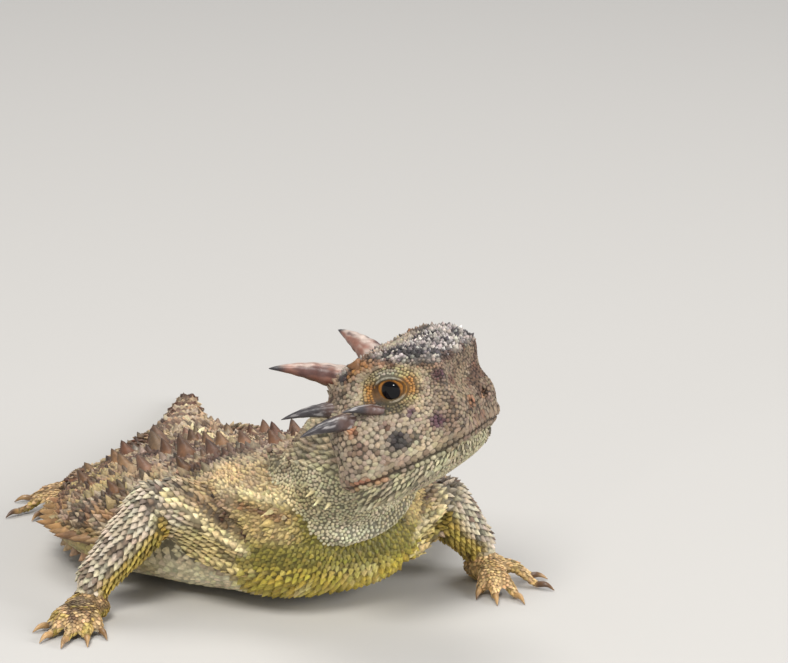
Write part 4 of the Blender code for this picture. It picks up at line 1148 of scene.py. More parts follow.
def set_sockets(node, values):
    for socket, value in values.items():
        node.inputs[socket].default_value = value


def new_finish(name, values):
    """A material with those values on its shader's sockets, and the shader."""
    finish = bpy.data.materials.new(name)
    finish.use_nodes = True
    shader = finish.node_tree.nodes["Principled BSDF"]
    set_sockets(shader, values)
    return finish, shader


def add_node(finish, kind, values=()):
    node = finish.node_tree.nodes.new("ShaderNode" + kind)
    set_sockets(node, dict(values))
    return node


def join(finish, *pairs):
    for source, out, target, into in pairs:
        finish.node_tree.links.new(source.outputs[out], target.inputs[into])


def speckle(finish, colour, out, scale, detail, levels):
    """Sends a node's colour to the finish's shader, made lighter and darker by a noise between levels."""
    place = add_node(finish, "TexCoord")
    noisy = add_node(finish, "TexNoise", {"Scale": scale, "Detail": detail})
    shade = add_node(finish, "MapRange", levels)
    tinted = add_node(finish, "VectorMath")
    tinted.operation = "SCALE"
    shader = finish.node_tree.nodes["Principled BSDF"]
    join(finish, (place, "Object", noisy, "Vector"), (noisy, "Fac", shade, "Value"), (colour, out, tinted, 0),
        (shade, "Result", tinted, "Scale"), (tinted, "Vector", shader, "Base Color"))


def marked_material(name, roughness, grain, bump, specular=0.4, coat=0.0):
    """A finish whose colour is the markings', with fine mottling, and grain in millimetres."""
    finish, shader = new_finish(name, {"Specular IOR Level": specular, "Coat Weight": coat, "Coat Roughness": 0.35})
    colour = add_node(finish, "Attribute")
    colour.attribute_name = "marking"
    levels = {"From Min": 0.3, "From Max": 0.7, "To Min": 0.78, "To Max": 1.18}
    speckle(finish, colour, "Color", 1 / (2.2 * grain * MM), 4, levels)
    place = add_node(finish, "TexCoord")
    fine = add_node(finish, "TexNoise", {"Scale": 1 / (grain * MM), "Detail": 3})
    rough = add_node(finish, "MapRange", {"To Min": roughness - 0.14, "To Max": roughness + 0.14})
    relief = add_node(finish, "Bump", {"Strength": bump, "Distance": 0.3 * grain * MM})
    join(finish, (place, "Object", fine, "Vector"), (fine, "Fac", rough, "Value"), (fine, "Fac", relief, "Height"),
        (rough, "Result", shader, "Roughness"), (relief, "Normal", shader, "Normal"))
    return finish


def unwrap(piece):
    """Lays a piece's faces out on a bake map by the way they face."""
    bpy.ops.object.select_all(action="DESELECT")
    piece.select_set(True)
    bpy.context.view_layer.objects.active = piece
    piece.data.uv_layers.new(name="OFBake")
    bpy.ops.object.mode_set(mode="EDIT")
    bpy.ops.mesh.select_all(action="SELECT")
    bpy.ops.uv.smart_project(angle_limit=1.15, island_margin=0.004, scale_to_bounds=True)
    bpy.ops.object.mode_set(mode="OBJECT")
    piece.select_set(False)


def build_skin():
    forms = body_forms()
    face_labels = read_values(forms.polygons, "material_index", 1, np.int32)[:, 0]
    form_tree = tree_of(forms)
    mesh = with_modifiers(forms, ("REMESH", {"mode": "VOXEL", "voxel_size": VOXEL}),
        ("SMOOTH", {"factor": 0.5, "iterations": 3}))
    mesh.name = "Skin"
    points, normals = points_of(mesh), normals_of(mesh)
    labels = nearest_labels(points, form_tree, face_labels)
    points = shape_skin(points, normals, labels)
    set_points(mesh, points)
    smooth_shaded(mesh)
    mesh.polygons.foreach_set("material_index", np.zeros(len(mesh.polygons), np.int32))
    mesh.update()
    colours = marking(points, normals_of(mesh), labels)
    # The skin between the scales is darkened to a share of its markings: painted shade in the gaps between the scales,
    # less on hands, feet, the low belly and the bib.
    soft = np.where(region_is(labels, "hand", "foot"), 0.55, np.where(points[:, 2] < 4.5, 0.8, 0.34))
    soft = np.maximum(soft, 0.34 + 0.26 * in_bib(points) * region_is(labels, "trunk"))
    store_colours(mesh, colours * soft[:, None])
    finish = marked_material("Lizard skin between the scales", 0.62, 0.12, 0.5)
    skin = make_object("Skin", mesh, finish, FLESH)
    unwrap(skin)
    corners = np.array([(*face.vertices, face.vertices[0])[:4] for face in mesh.polygons])
    starts = read_values(mesh.polygons, "loop_start", 1, np.int32)[:, 0]
    BODY["tree"] = BVHTree.FromPolygons(points.tolist(), corners.tolist())
    BODY["labels"] = labels[corners[:, 0]]
    BODY["middles"] = points[corners].mean(1)
    BODY["normals"] = unit(normals_of(mesh)[corners].mean(1))
    BODY["areas"] = np.linalg.norm(np.cross(points[corners[:, 2]] - points[corners[:, 0]],
        points[corners[:, 3]] - points[corners[:, 1]]), axis=1)
    BODY["face_uv"] = read_values(mesh.uv_layers["OFBake"].uv, "vector", 2)[starts]


# Where scales stand


def reach_of(line):
    """How far along a line each of its points lies."""
    return np.concatenate(([0], np.cumsum(np.linalg.norm(np.diff(line, axis=0), axis=1))))


def rows(rings, spacing, seed=0, pitch=0.86):
    """Staggered places all over a form, in rows that follow its rings, with the way along it at each."""
    chance = default_rng(seed)
    middles = rings.mean(1)
    reach = reach_of(middles)
    places, ways = [], []
    for k, far in enumerate(np.arange(spacing / 2, reach[-1], spacing * pitch)):
        at = int(np.clip(np.searchsorted(reach, far) - 1, 0, len(rings) - 2))
        t = (far - reach[at]) / (reach[at + 1] - reach[at])
        ring = rings[at] * (1 - t) + rings[at + 1] * t
        way = rings[at + 1] - rings[at]
        ring, way = np.vstack((ring, ring[:1])), np.vstack((way, way[:1]))
        girth = reach_of(ring)
        count = max(4, int(round(girth[-1] / spacing)))
        turn = (np.arange(count) + 0.5 * (k % 2) + chance.uniform(-0.12, 0.12, count)) / count * girth[-1] % girth[-1]
        places.append(np.column_stack([np.interp(turn, girth, ring[:, i]) for i in range(3)]))
        ways.append(np.column_stack([np.interp(turn, girth, way[:, i]) for i in range(3)]))
    return np.vstack(places), unit(np.vstack(ways))


def settled(points, ways, labels, reach=1.0):
    """Sets points down on the skin where it has one of the labels: roots, normals, ways and faces."""
    hits = [BODY["tree"].find_nearest(point) for point in points.tolist()]
    faces = np.array([hit[2] for hit in hits])
    away = np.array([hit[3] for hit in hits])
    keep = (away < reach) & np.isin(BODY["labels"][faces], labels)
    roots = np.array([hit[0][:] for hit in hits])
    return roots[keep], BODY["normals"][faces[keep]], ways[keep], faces[keep]


def spread(points, gaps, taken=()):
    """Which points to keep so that none stands closer to an earlier one, or to one taken, than its gap."""
    gaps = np.broadcast_to(gaps, len(points))
    cell = float(gaps.max())
    grid = {}
    for point in taken:
        grid.setdefault(tuple(int(v // cell) for v in point), []).append(tuple(point))
    keep = np.zeros(len(points), bool)
    steps = [(i, j, k) for i in (-1, 0, 1) for j in (-1, 0, 1) for k in (-1, 0, 1)]
    for index, (point, gap) in enumerate(zip(points.tolist(), gaps.tolist())):
        x, y, z = point
        home = (int(x // cell), int(y // cell), int(z // cell))
        limit = gap * gap
        free = True
        for i, j, k in steps:
            for a, b, c in grid.get((home[0] + i, home[1] + j, home[2] + k), ()):
                if (x - a) ** 2 + (y - b) ** 2 + (z - c) ** 2 < limit:
                    free = False
                    break
            if not free:
                break
        if free:
            keep[index] = True
            grid.setdefault(home, []).append((x, y, z))
    return keep


def strewn(labels, density, seed):
    """Random places on the skin's faces of some labels, so many to a square millimetre."""
    chance = default_rng(seed)
    faces = np.flatnonzero(np.isin(BODY["labels"], labels))
    weight = BODY["areas"][faces]
    count = int(weight.sum() * 0.5 * density)
    chosen = faces[np.searchsorted(np.cumsum(weight) / weight.sum(), chance.random(count))]
    jitter = chance.uniform(-0.5, 0.5, (count, 3)) * VOXEL
    normals = BODY["normals"][chosen]
    jitter -= normals * (jitter * normals).sum(1, keepdims=True)
    return BODY["middles"][chosen] + jitter, normals, chosen


def labels_of(names, sides=(0, LEFT_LABEL)):
    return [REGION[name] + side for name in names for side in sides]


def backward_lie(points):
    along, _ = from_back(points)
    turn = np.radians(read(BACK_TURN, along))
    return np.column_stack((np.sin(turn), np.cos(turn), np.zeros(len(points))))


def covered(rings_list, names, spacing, seed, side=None, lie=None, reach=1.0):
    """Rows of places over forms, with the gaps between them filled."""
    sides = (0, LEFT_LABEL) if side is None else ((LEFT_LABEL,) if side == "left" else (0,))
    labels = labels_of(names, sides)
    sets = [settled(*rows(rings, spacing, seed + k), labels, reach) for k, rings in enumerate(rings_list)]
    roots, normals, ways, faces = (np.concatenate(part) for part in zip(*sets))
    keep = spread(roots, spacing * 0.62)
    roots, normals, ways, faces = picked(keep, roots, normals, ways, faces)
    more, more_ups, more_faces = strewn(labels, 10 / spacing ** 2, seed + 90)
    gaps = spread(more, spacing * 0.74, roots)
    more, more_ups, more_faces = picked(gaps, more, more_ups, more_faces)
    if lie is not None:
        more_ways = lie(more)
    elif len(more):
        guide = kd_of(roots)
        more_ways = np.array([ways[guide.find(point)[1]] for point in more.tolist()])
    else:
        more_ways = np.zeros((0, 3))
    return (np.concatenate((roots, more)), np.concatenate((normals, more_ups)), np.concatenate((ways, more_ways)),
        np.concatenate((faces, more_faces)))


def picked(keep, *parts):
    return [part[keep] for part in parts]


def kd_of(points):
    tree = KDTree(len(points))
    for index, point in enumerate(points.tolist()):
        tree.insert(point, index)
    tree.balance()
    return tree


def places_of(found, widths, lengths, heights, tilt=0.0):
    roots, normals, ways, faces = found
    flat = ways - normals * (ways * normals).sum(1, keepdims=True)
    lost = np.linalg.norm(flat, axis=1) < 0.2
    flat[lost] = np.cross(normals[lost], (1.0, 0.3, 0.2))
    return Places(roots, normals, unit(flat), widths, lengths, heights, BODY["labels"][faces], faces, tilt)


def trunk_lie(points):
    """Backwards along the trunk, and on the chest away from the throat."""
    along, _ = from_back(points)
    chest = (ease(-20, -25, along) * ease(12.5, 10.5, points[:, 2]))[:, None]
    return unit(backward_lie(points) * (1 - chest) + unit(points - np.array(THROAT_MIDDLE)) * chest)


def trunk_zones(points):
    """Which points are on the upper side, and which on the tail."""
    along, _ = from_back(points)
    in_tail = along > TRUNK_END
    edge = np.minimum(read(EDGE_HEIGHT, along), np.where(in_tail, 0.45 * read(TAIL_HEIGHT, along), 99))
    return points[:, 2] > edge, in_tail


def in_bib(points):
    """How far points lie in the fine scales below the throat."""
    along, side = from_back(points)
    return ease(4.8, 6.6, points[:, 2]) * ease(-22, -26, along) * ease(13, 10, np.abs(side))


def build_trunk_scales(finish):
    """Back, flanks, chest, belly and tail."""
    chance = default_rng(11)
    roots, normals, _, faces = covered([trunk_rings(0.6, 72)], ("trunk",), 0.82, 12, lie=trunk_lie)
    upper, in_tail = trunk_zones(roots)
    below = ~upper | in_tail
    loose, loose_ups, loose_faces = strewn(labels_of(("trunk",)), TRIED["trunk"], 13)
    upper, in_tail = trunk_zones(loose)
    along, side = from_back(loose)
    front = ~upper & (along < -19)
    below &= from_back(roots)[0] >= -19
    keep = (upper & ~in_tail) | front
    loose, loose_ups, loose_faces, front, along, side = picked(
        keep, loose, loose_ups, loose_faces, front, along, side)
    shoulder = ease(-16, -19, along) * ease(4, 6, np.abs(side))
    sizes = 0.72 * chance.uniform(0.6, 1, len(loose)) * np.where(chance.random(len(loose)) > 0.97, 2, 1)
    fineness = ease(1, 7.5, loose[:, 2]) * ease(-20, -25, along)
    grown = (1.08 - 0.62 * fineness) * (1 - 0.42 * ease(-25, -21, along)) * chance.uniform(0.92, 1.08, len(loose))
    sizes = np.where(front, grown, sizes * (1 - 0.3 * shoulder))
    keep = spread(loose, sizes * 0.78)
    roots = np.concatenate((roots[below], loose[keep]))
    normals = np.concatenate((normals[below], loose_ups[keep]))
    faces = np.concatenate((faces[below], loose_faces[keep]))
    upper, in_tail = trunk_zones(roots)
    along, side = from_back(roots)
    count = len(roots)
    calm = np.maximum(in_bib(roots), 2.5 * ease(-25, -21, along))
    chest = along < -19
    width = np.where(chest, 1.12, 0.85) * chance.uniform(0.88, 1.12, count)
    width = width * np.where(in_tail, np.clip(1 - (along - 19) / 60, 0.5, 1), 1)
    above = upper & ~in_tail
    width[below.sum():] = sizes[keep]
    uneven = chance.uniform(0.8, 1.25, count) * np.where(above & (width > 0.8), 1.5, 1)
    height = width * np.where(above, 0.66, np.where(chest, 0.5 - 0.1 * calm, 0.2)) * uneven
    tilt = np.where(above | in_tail, 0.34, np.where(chest, 0.3 - 0.1 * calm, 0.08))
    turn = chance.normal(0, 1, (count, 3)) * np.where(above, 0.3, 0.05)[:, None]
    every = places_of((roots, normals, unit(trunk_lie(roots) + turn), faces), width * np.where(chest, 1.15, 1),
        width * 1.1, height, tilt)
    pick = {
        "Back_scales": above & (side >= 0),
        "Back_scales_right": above & (side < 0),
        "Belly_scales": ~upper & ~in_tail & ~chest,
        "Chest_scales": ~upper & ~in_tail & chest,
        "Tail_scales": in_tail,
    }
    for seed, (name, keep) in enumerate(pick.items()):
        shape = keeled_shape(*{"Chest_scales": (0.6, 0.46), "Belly_scales": (0.15, 0.3)}.get(name, (0.75, 0.46)))
        scatter(name, shape, every.only(keep), finish, seed=seed,
            pepper=0.05 if name.startswith("Back") else 0, base={"Belly_scales": 0.85, "Chest_scales": 0.55}.get(name,
            0.36))


def build_limb_scales(finish):
    for side in SIDES:
        segments = limb_ends(side)
        for name, names in (("Arm", ("upper_arm", "forearm")), ("Leg", ("thigh", "shank"))):
            spacing = size_of(f"{name.lower()}_scale")
            rings = [limb_rings(*segments[part]) for part in names]
            found = covered(rings, names, spacing, 31, side)
            chance = default_rng(33)
            width = spacing * chance.uniform(0.85, 1.15, len(found[0]))
            loose = region_is(BODY["labels"][found[3]], "upper_arm")
            places = places_of(found, width, width * 1.0, width * np.where(loose, 0.45, 0.62),
                np.where(loose, 0.22, 0.38))
            scatter(f"{name}_scales_{side}", keeled_shape(0.65, 0.5), places, finish, seed=35, pepper=0.08,
                base=0.3, tip=1.3)
        for kind in ("hand", "foot"):
            rings = [tube_rings(bent_line(line, 4), np.interp(np.arange(17) / 4, np.arange(5), radii), 14) for line,
                radii, _ in digit_lines(kind, side)]
            found = covered(rings, (kind,), 0.92 * size_of("digit_scale"), 41, side, reach=0.6)
            chance = default_rng(43)
            width = size_of("digit_scale") * chance.uniform(0.8, 1.15, len(found[0]))
            places = places_of(found, width, width * 1.1, width * 0.4, 0.15)
            scatter(f"{kind.capitalize()}_scales_{side}", keeled_shape(0.4, 0.42), places, finish, seed=45,
                base=0.55, tip=1.2, pepper=0.02)


def build_head_scales(finish):
    labels = labels_of(("head", "lid"))
    points, normals, faces = strewn(labels, TRIED["head"], 51)
    f, l, u = from_head(points)
    chance = default_rng(52)
    brow_edge = read(BROW_H, f) - read(BROW_THICK, f)
    crown = (u > brow_edge - 0.3) & (f < 5.8)
    granule = size_of("granule")
    width = np.where(crown, granule * 0.82 * chance.uniform(0.7, 1.3, len(points)),
        granule * (1 - 0.3 * ease(0.5, 2.5, f) - 0.2 * ease(-3, 0, u)))
    away = np.hypot(f / 1.25, u)
    on_lid = (np.abs(l) > 4.4) & (away < 2.35) & ~crown
    lip = (u < read(LIP_H, f) + 1.5) & ~crown & ~on_lid & (f > -4.5)
    width = np.where(lip, 0.5, width)
    mouth = near_line(points, mouth_line())[0] < 0.66
    beside = np.column_stack((f, np.abs(l), u))
    nostril = np.linalg.norm(beside - NOSTRIL, axis=1) < 0.5
    ear = np.linalg.norm(beside - (EAR[0], EAR[1] + 0.1, EAR[2]), axis=1) < 0.8
    usable = ~(on_lid | mouth | nostril | ear)
    points, normals, faces, width, crown, lip = picked(usable, points, normals, faces, width, crown, lip)
    keep = spread(points, width * 0.76)
    points, normals, faces, width, crown, lip = picked(keep, points, normals, faces, width, crown, lip)
    turn = chance.uniform(-0.6, 0.6, (len(points), 1)) * ~lip[:, None]
    ways = unit(-head_way((1, 0, 0.3)) + turn * HEAD_AXES[:, 2])
    low = np.where(lip, 0.35, 0.54) * chance.uniform(0.85, 1.15, len(points))
    low = np.where(crown, chance.uniform(0.7, 1.45, len(points)), low)
    long = np.where(lip, 1.7, chance.uniform(1, 1.3, len(points)))
    broad = width * np.where(crown, 1.1, 1.27)
    every = places_of((points, normals, ways, faces), broad, broad * long, width * low)
    bump = template_of(stack(((0.52, -0.3), (0.48, 0.08), (0.22, 0.38)), 6, 0.7))
    scatter("Skull_bumps", bump, every.only(crown), finish, seed=53, tip=1.4, base=0.2, vary=0.2)
    plate = template_of(stack(((0.5, -0.3), (0.48, 0.1), (0.32, 0.36)), 6, 0.5))
    scatter("Cheek_granules", plate, every.only(~crown), finish, seed=54, base=0.24, tip=1.2, pepper=0.03,
        vary=0.12)
    build_lips(finish)


def build_lips(finish):
    """A row of low plates along each lip."""
    line = bent_line(mouth_line(), 8)
    reach = reach_of(line)
    marks = np.arange(0.6, reach[-1] - 0.5, 0.62)
    middle = np.column_stack([np.interp(marks, reach, line[:, k]) for k in range(3)])
    ways = unit(np.gradient(middle, axis=0))
    for name, rise, wide, base in (("Upper_lip_plates", 0.42, 0.6, 0.5), ("Lower_lip_plates", -0.44, 0.56, 0.45)):
        found = settled(middle + HEAD_AXES[:, 2] * rise, ways, labels_of(("head", "jaw")), 1.6)
        count = len(found[0])
        chance = default_rng(55)
        places = places_of(found, wide, 0.68 * chance.uniform(0.9, 1.1, count), 0.3)
        scatter(name, granule_shape(8), places, finish, seed=56, base=base, tip=1.1, pepper=0, flat=False)


def build_throat_scales(finish):
    labels = labels_of(("jaw", "neck", "fold"))
    points, normals, faces = strewn(labels, TRIED["throat"], 61)
    f, l, _ = from_head(points)
    z = points[:, 2]
    jaw = np.isin(BODY["labels"][faces], labels_of(("jaw",)))
    side = jaw & (np.abs(l) > read(JAW_W, f) - 1.1)
    nape = ~jaw & (z > 16.5)
    width = np.where(side, 0.46, np.where(nape, 0.66, 0.37))
    mouth = near_line(points, mouth_line())[0] < 0.66
    points, normals, faces, width, side, nape = picked(~mouth, points, normals, faces, width, side, nape)
    keep = spread(points, width * np.where(side, 0.84, 0.76))
    points, normals, faces, width, side, nape = picked(keep, points, normals, faces, width, side, nape)
    ways = np.where(nape[:, None], backward_lie(points), -head_way((1.0, 0, 0.35)))
    every = places_of((points, normals, ways, faces), width * np.where(side, 0.85, 1), width * np.where(side, 1.3, 1.1),
        width * 0.75, np.where(side | nape, 0.2, 0.0))
    scatter("Jaw_scales", keeled_shape(0.6, 0.42), every.only(side), finish, seed=63, base=0.42, tip=1.15)
    scatter("Throat_granules", granule_shape(7), every.only(~side & ~nape), finish, seed=64, base=0.66,
        tip=1.05, pepper=0.01, vary=0.1)
    scatter("Nape_scales", keeled_shape(0.6, 0.5), every.only(nape), finish, seed=65)


def build_lid_granules(finish):
    """Smooth rims and rings of granules round each eye."""
    found = []
    sizes = []
    rims = bmesh.new()
    for sign in (-1, 1):
        eye = on_head((0, sign * EYE_SIDE, 0))
        for wide, high, thick in LID_RIMS:
            angle = turns(56)
            aside = np.sqrt(EYE_RADIUS ** 2 - np.minimum((wide * np.cos(angle)) ** 2 + (high * np.sin(angle)) ** 2,
                4.5))
            line = on_head(np.column_stack((wide * np.cos(angle), sign * (EYE_SIDE + aside), high * np.sin(angle))))
            line = eye + unit(line - eye) * (EYE_RADIUS + 0.2)
            loop_tube(rims, line, thick, eye)
        for ring in range(6):
            wide, high = 2.08 + 0.27 * ring, 1.55 + 0.27 * ring
            size = 0.29 + 0.02 * ring
            count = int(2 * math.pi * math.sqrt((wide ** 2 + high ** 2) / 2) / (size * 0.9)) + ring % 2
            chance = default_rng(74 + ring)
            angle = turns(count) + ring * 0.3 + chance.uniform(-0.3, 0.3, count) / count * 6.0
            off = chance.uniform(-0.06, 0.06, count)
            f, u = (wide + off) * np.cos(angle), (high + off) * np.sin(angle)
            points = on_head(np.column_stack((f, np.full(count, sign * (EYE_SIDE + 3.0)), u)))
            way = head_way((0, -sign, 0))
            for point in points.tolist():
                place, _, face, _ = BODY["tree"].ray_cast(point, way.tolist())
                if place is not None:
                    found.append((place[:], BODY["normals"][face], face))
                    sizes.append(size)
    roots, normals, faces = (np.array(part) for part in zip(*found))
    ways = all_over(roots, -head_way((1, 0, 0)))
    width = np.array(sizes) * default_rng(75).uniform(0.8, 1.2, len(sizes))
    places = places_of((roots, normals, ways, faces), width, width * 1.1, width * 0.6)
    scatter("Eyelid_granules", granule_shape(7), places, finish, seed=71, base=0.5, pepper=0, flat=False)
    mesh = finished(rims, "Eyelid_rims")
    points = points_of(mesh)
    f, _, u = from_head(points)
    tones = palette()
    pale = np.maximum(ease(0.5, 1.0, u), 0.8 * ease(-0.5, -0.9, u) * ease(-1.4, 0.2, f))
    colours = painted(all_over(points, tones.eyelid * 0.7), tones.lid_rim, pale * 0.9)
    store_colours(mesh, colours * (0.45 + 0.9 * noise(points, 0.3, 73))[:, None])
    mesh.transform(Matrix.Scale(MM, 4))
    smooth_shaded(mesh)
    make_object("Eyelid_rims", mesh, marked_material("Lid rims", 0.75, 0.1, 0.8, specular=0.15))


def loop_tube(bm, line, thick, centre, sides=8):
    """A closed tube along a ring of points round a centre."""
    line = np.asarray(line)
    ways = unit(np.roll(line, -1, 0) - np.roll(line, 1, 0))
    outward = unit(line - centre)
    across = unit(np.cross(ways, outward))
    rims = []
    for point, out, side_way in zip(line, outward, across):
        ring = [point + thick * (out * math.cos(a) + side_way * math.sin(a)) for a in turns(sides)]
        verts = [bm.verts.new(corner) for corner in ring]
        rims.append([bm.edges.new((verts[i], verts[(i + 1) % sides])) for i in range(sides)])
    for k, rim in enumerate(rims):
        bmesh.ops.bridge_loops(bm, edges=rim + rims[(k + 1) % len(rims)])


# Spines, horns, eyes and claws


def trunk_place(along, angle):
    """A point of the trunk and the way it faces there."""
    step = 0.02
    here = trunk_ring(along, np.array((angle - step, angle, angle + step)))
    forwards = trunk_ring(along + 0.3, np.array((angle,)))[0] - trunk_ring(along - 0.3, np.array((angle,)))[0]
    normal = unit(np.cross(forwards, here[2] - here[0]))
    middle = beside_back(along, 0, read(EDGE_HEIGHT, along) * 0.8)
    return here[1], normal if normal @ (here[1] - middle) > 0 else -normal


def stops(start, end, pitch):
    while start < end:
        yield start
        start += pitch


def spine_places():
    """Every large spine of the body: its group, foot, the way it points, its length and its radius."""
    def on_trunk(group, along, angle, upright, backward, size, radius):
        foot, normal = trunk_place(along, angle)
        return group, foot, normal * upright + backward_lie(foot[None])[0] * backward, size, radius

    chance = random.Random(5)
    for row, (share, length, start, end, pitch) in enumerate(BACK_SPINE_ROWS):
        for sign in (-1, 1):
            for along in stops(start + (row % 2) * pitch / 2, end, pitch):
                place = along + chance.uniform(-0.5, 0.5)
                size = length * chance.uniform(0.8, 1.15)
                yield on_trunk("Back_spines", place, math.acos(sign * share), 1.1, 0.75, size, 0.36 * size + 0.1)
    for _ in range(BACK_THORN_COUNT):
        place, share = chance.uniform(-20, 17), chance.uniform(-0.9, 0.9)
        size, backward = chance.uniform(0.6, 1.25), chance.uniform(0.5, 1.1)
        yield on_trunk("Back_thorns", place, math.acos(share), 1, backward, size, 0.36 * size + 0.08)
    chance = random.Random(8)
    for height, length, start, end, pitch in FRINGE_ROWS:
        for angle in (math.pi - height, height):
            for along in stops(start, end, pitch):
                size = length * chance.uniform(0.85, 1.1)
                fade = min(1.0, 0.45 + 0.2 * min(along - start, end - along))
                yield on_trunk("Fringe", along, angle, 1, 0.55, size * fade, 0.6)
    for angle, length in TAIL_SPINE_ROWS:
        for start, end in ((TRUNK_END + 1.6, 31.0), (34.6, TAIL_END - 2.0)):
            for along in stops(start, end, TAIL_SPINE_PITCH):
                size = length * (1.0 - 0.55 * (along - TRUNK_END) / (TAIL_END - TRUNK_END))
                yield on_trunk("Tail_spines", along, angle, 1, 0.9, size, 0.36 * size + 0.12)
    for sign in (-1, 1):
        for k in range(JAW_SPINE_COUNT):
            place = -6.0 + JAW_SPINE_PITCH * k
            foot = on_head((place, sign * (float(read(JAW_W, place)) - 0.2), float(read(JAW_H, place)) + 0.5))
            yield "Jaw_fringe", foot, head_way((-0.55, sign * 0.7, -0.5)), 1.05 - 0.03 * k, 0.33
        foot = on_head((-3.2, sign * 6.3, 3.6))
        yield "Brow_spines", foot, head_way((-0.9, sign * 0.45, 0.2)), 0.9, 0.6
    for station, angles, length in NECK_SPINE_ROWS:
        centre, wide, high = NECK_STATIONS[station]
        ahead, lateral, rise = neck_axes(station)
        for sign in (-1, 1):
            for k, degrees in enumerate(angles):
                angle = math.radians(degrees)
                outward = sign * lateral * wide * math.cos(angle) + rise * high * math.sin(angle)
                size = length * (0.7, 1.0, 0.9, 0.65)[k]
                yield "Neck_spines", centre + outward * 0.96, unit(outward) - ahead * 0.9, size, 0.16 * size + 0.12


def build_spines(finish):
    groups = {}
    for group, foot, way, length, radius in spine_places():
        groups.setdefault(group, []).append((*foot, *way, length, radius))
    for seed, (group, rows_of) in enumerate(groups.items()):
        table = np.array(rows_of)
        feet, ways, lengths, radii = table[:, :3], unit(table[:, 3:6]), table[:, 6], table[:, 7]
        hits = [BODY["tree"].find_nearest(foot) for foot in feet.tolist()]
        faces = np.array([hit[2] for hit in hits])
        roots = np.array([hit[0][:] for hit in hits])
        lies = unit(np.cross(np.cross(ways, backward_lie(roots)), ways))
        places = Places(roots - ways * 0.1, ways, lies, radii * 2.1, radii * 2.1, lengths + 0.15, BODY["labels"][faces],
            faces)
        base, tip, tint = SPINE_TONES[group]
        scatter(group, spine_shape(), places, finish, tip=tip, base=base, seed=seed, span=1.0, tint=tint,
            pepper=0, vary=0.22, mottle=1.6, flat=False)
        if group in ("Back_spines", "Tail_spines"):
            collar(f"{group}_collars", roots, ways, radii * 1.15, 0.62, finish)


def collar(name, feet, ways, radii, size, finish):
    """Scales in a ring round each foot, pointing out and up it."""
    points, lies = [], []
    for foot, way, radius in zip(feet, ways, radii):
        across = unit(np.cross(way, (0.3, 0.9, 0.2)))
        other = np.cross(way, across)
        count = max(6, int(round(2 * math.pi * (radius + 0.2) / (size * 0.9))))
        for angle in turns(count) + 0.2:
            out = across * math.cos(angle) + other * math.sin(angle)
            points.append(foot + out * (radius + 0.12))
            lies.append(-out + 0.6 * way)
    found = settled(np.array(points), np.array(lies), labels_of(REGIONS), 1.2)
    width = size * default_rng(77).uniform(0.8, 1.2, len(found[0]))
    scatter(name, keeled_shape(0.8, 0.5), places_of(found, width, width * 1.25, width * 0.7, 0.4), finish,
        seed=78)


def build_horns():
    tones = palette()
    finish = marked_material("Horn", 0.45, 0.25, 0.35, specular=0.5, coat=0.1)
    feet, ways_out, thick = [], [], []
    for sign, side in ((1, "left"), (-1, "right")):
        for name, root, tip, radius in HORNS:
            root, tip = np.array(root), np.array(tip)
            root, tip = on_head(root * (1, sign, 1)), on_head(tip * (1, sign, 1))
            way = tip - root
            length = np.linalg.norm(way)
            shares = np.linspace(-HORN_SINK / length, 1.0, 24)
            bow = HEAD_AXES[:, 2] * length * 0.05
            line = root + way * shares[:, None] + bow * (4 * shares * (1 - shares))[:, None]
            ridges = 1 + 0.05 * np.sin(shares * 34) * (shares < 0.75)
            rings = tube_rings(line, radius * read(HORN_PROFILE, shares) * ridges, 20, 0.86, up=HEAD_AXES[:, 2])
            groove = 1 + 0.05 * np.cos(turns(20) * 5)[None, :, None] * np.clip(1 - shares, 0, 1)[:, None, None]
            rings = line[:, None] + (rings - line[:, None]) * groove
            bm = bmesh.new()
            wrap(bm, rings)
            mesh = with_modifiers(finished(bm, name), ("SUBSURF", {"levels": 1, "render_levels": 1}))
            points, normals = points_of(mesh), normals_of(mesh)
            share = np.clip((points - root) @ way / length ** 2, 0, 1)
            # How far each point faces up: the horns are painted lighter on top and darker below by it, as painted
            # highlight and shade.
            upper = normals @ HEAD_AXES[:, 2]
            lengthways = unit(way)
            fine = name != "occipital_horn"
            drawn = points - lengthways * ((points @ lengthways) * (0.9 if fine else 0.75))[:, None]
            streak = rich_noise(drawn, 0.24 if fine else 0.55, 91)
            dusky = rich_noise(drawn, 0.8, 95)
            if name == "occipital_horn":
                colours = all_over(points, linear((0.53, 0.37, 0.31)))
                # Darker, redder underside: painted shade.
                paint(colours, linear((0.42, 0.25, 0.19)), ease(0.2, -0.5, upper))
                # Pale streaks, strongest on top: the horn's pale streaks together with painted highlight.
                paint(colours, linear((0.80, 0.74, 0.69)), 0.75 * ease(0.6, 0.85, upper * 0.6 + streak * 0.6))
                paint(colours, linear((0.28, 0.16, 0.15)), 0.8 * ease(0.56, 0.68, dusky))
                paint(colours, tones.ink_and_pit_shade, ease(0.72, 0.92, share + 0.2 * (streak - 0.5)))
            else:
                colours = all_over(points, linear((0.20, 0.18, 0.19)))
                paint(colours, linear((0.33, 0.24, 0.21)), ease(0.4, 0.05, share))
                # The horn's pale streaks, a little stronger on its top, where they are painted highlight.
                paint(colours, linear((0.66, 0.64, 0.63)), 0.65 * ease(0.58, 0.70, streak + 0.05 * upper)
                    * ease(1.0, 0.7, share))
            store_colours(mesh, colours)
            mesh.transform(Matrix.Scale(MM, 4))
            smooth_shaded(mesh)
            make_object(f"{name}_{side}_keratin", mesh, finish, (f"{name}_{side}",))
            feet.append(root)
            ways_out.append(lengthways)
            thick.append(radius)
    scales = marked_material("Horn collar scales", 0.55, 0.16, 0.4)
    collar("Horn_collars", np.array(feet), np.array(ways_out), np.array(thick), 0.55, scales)


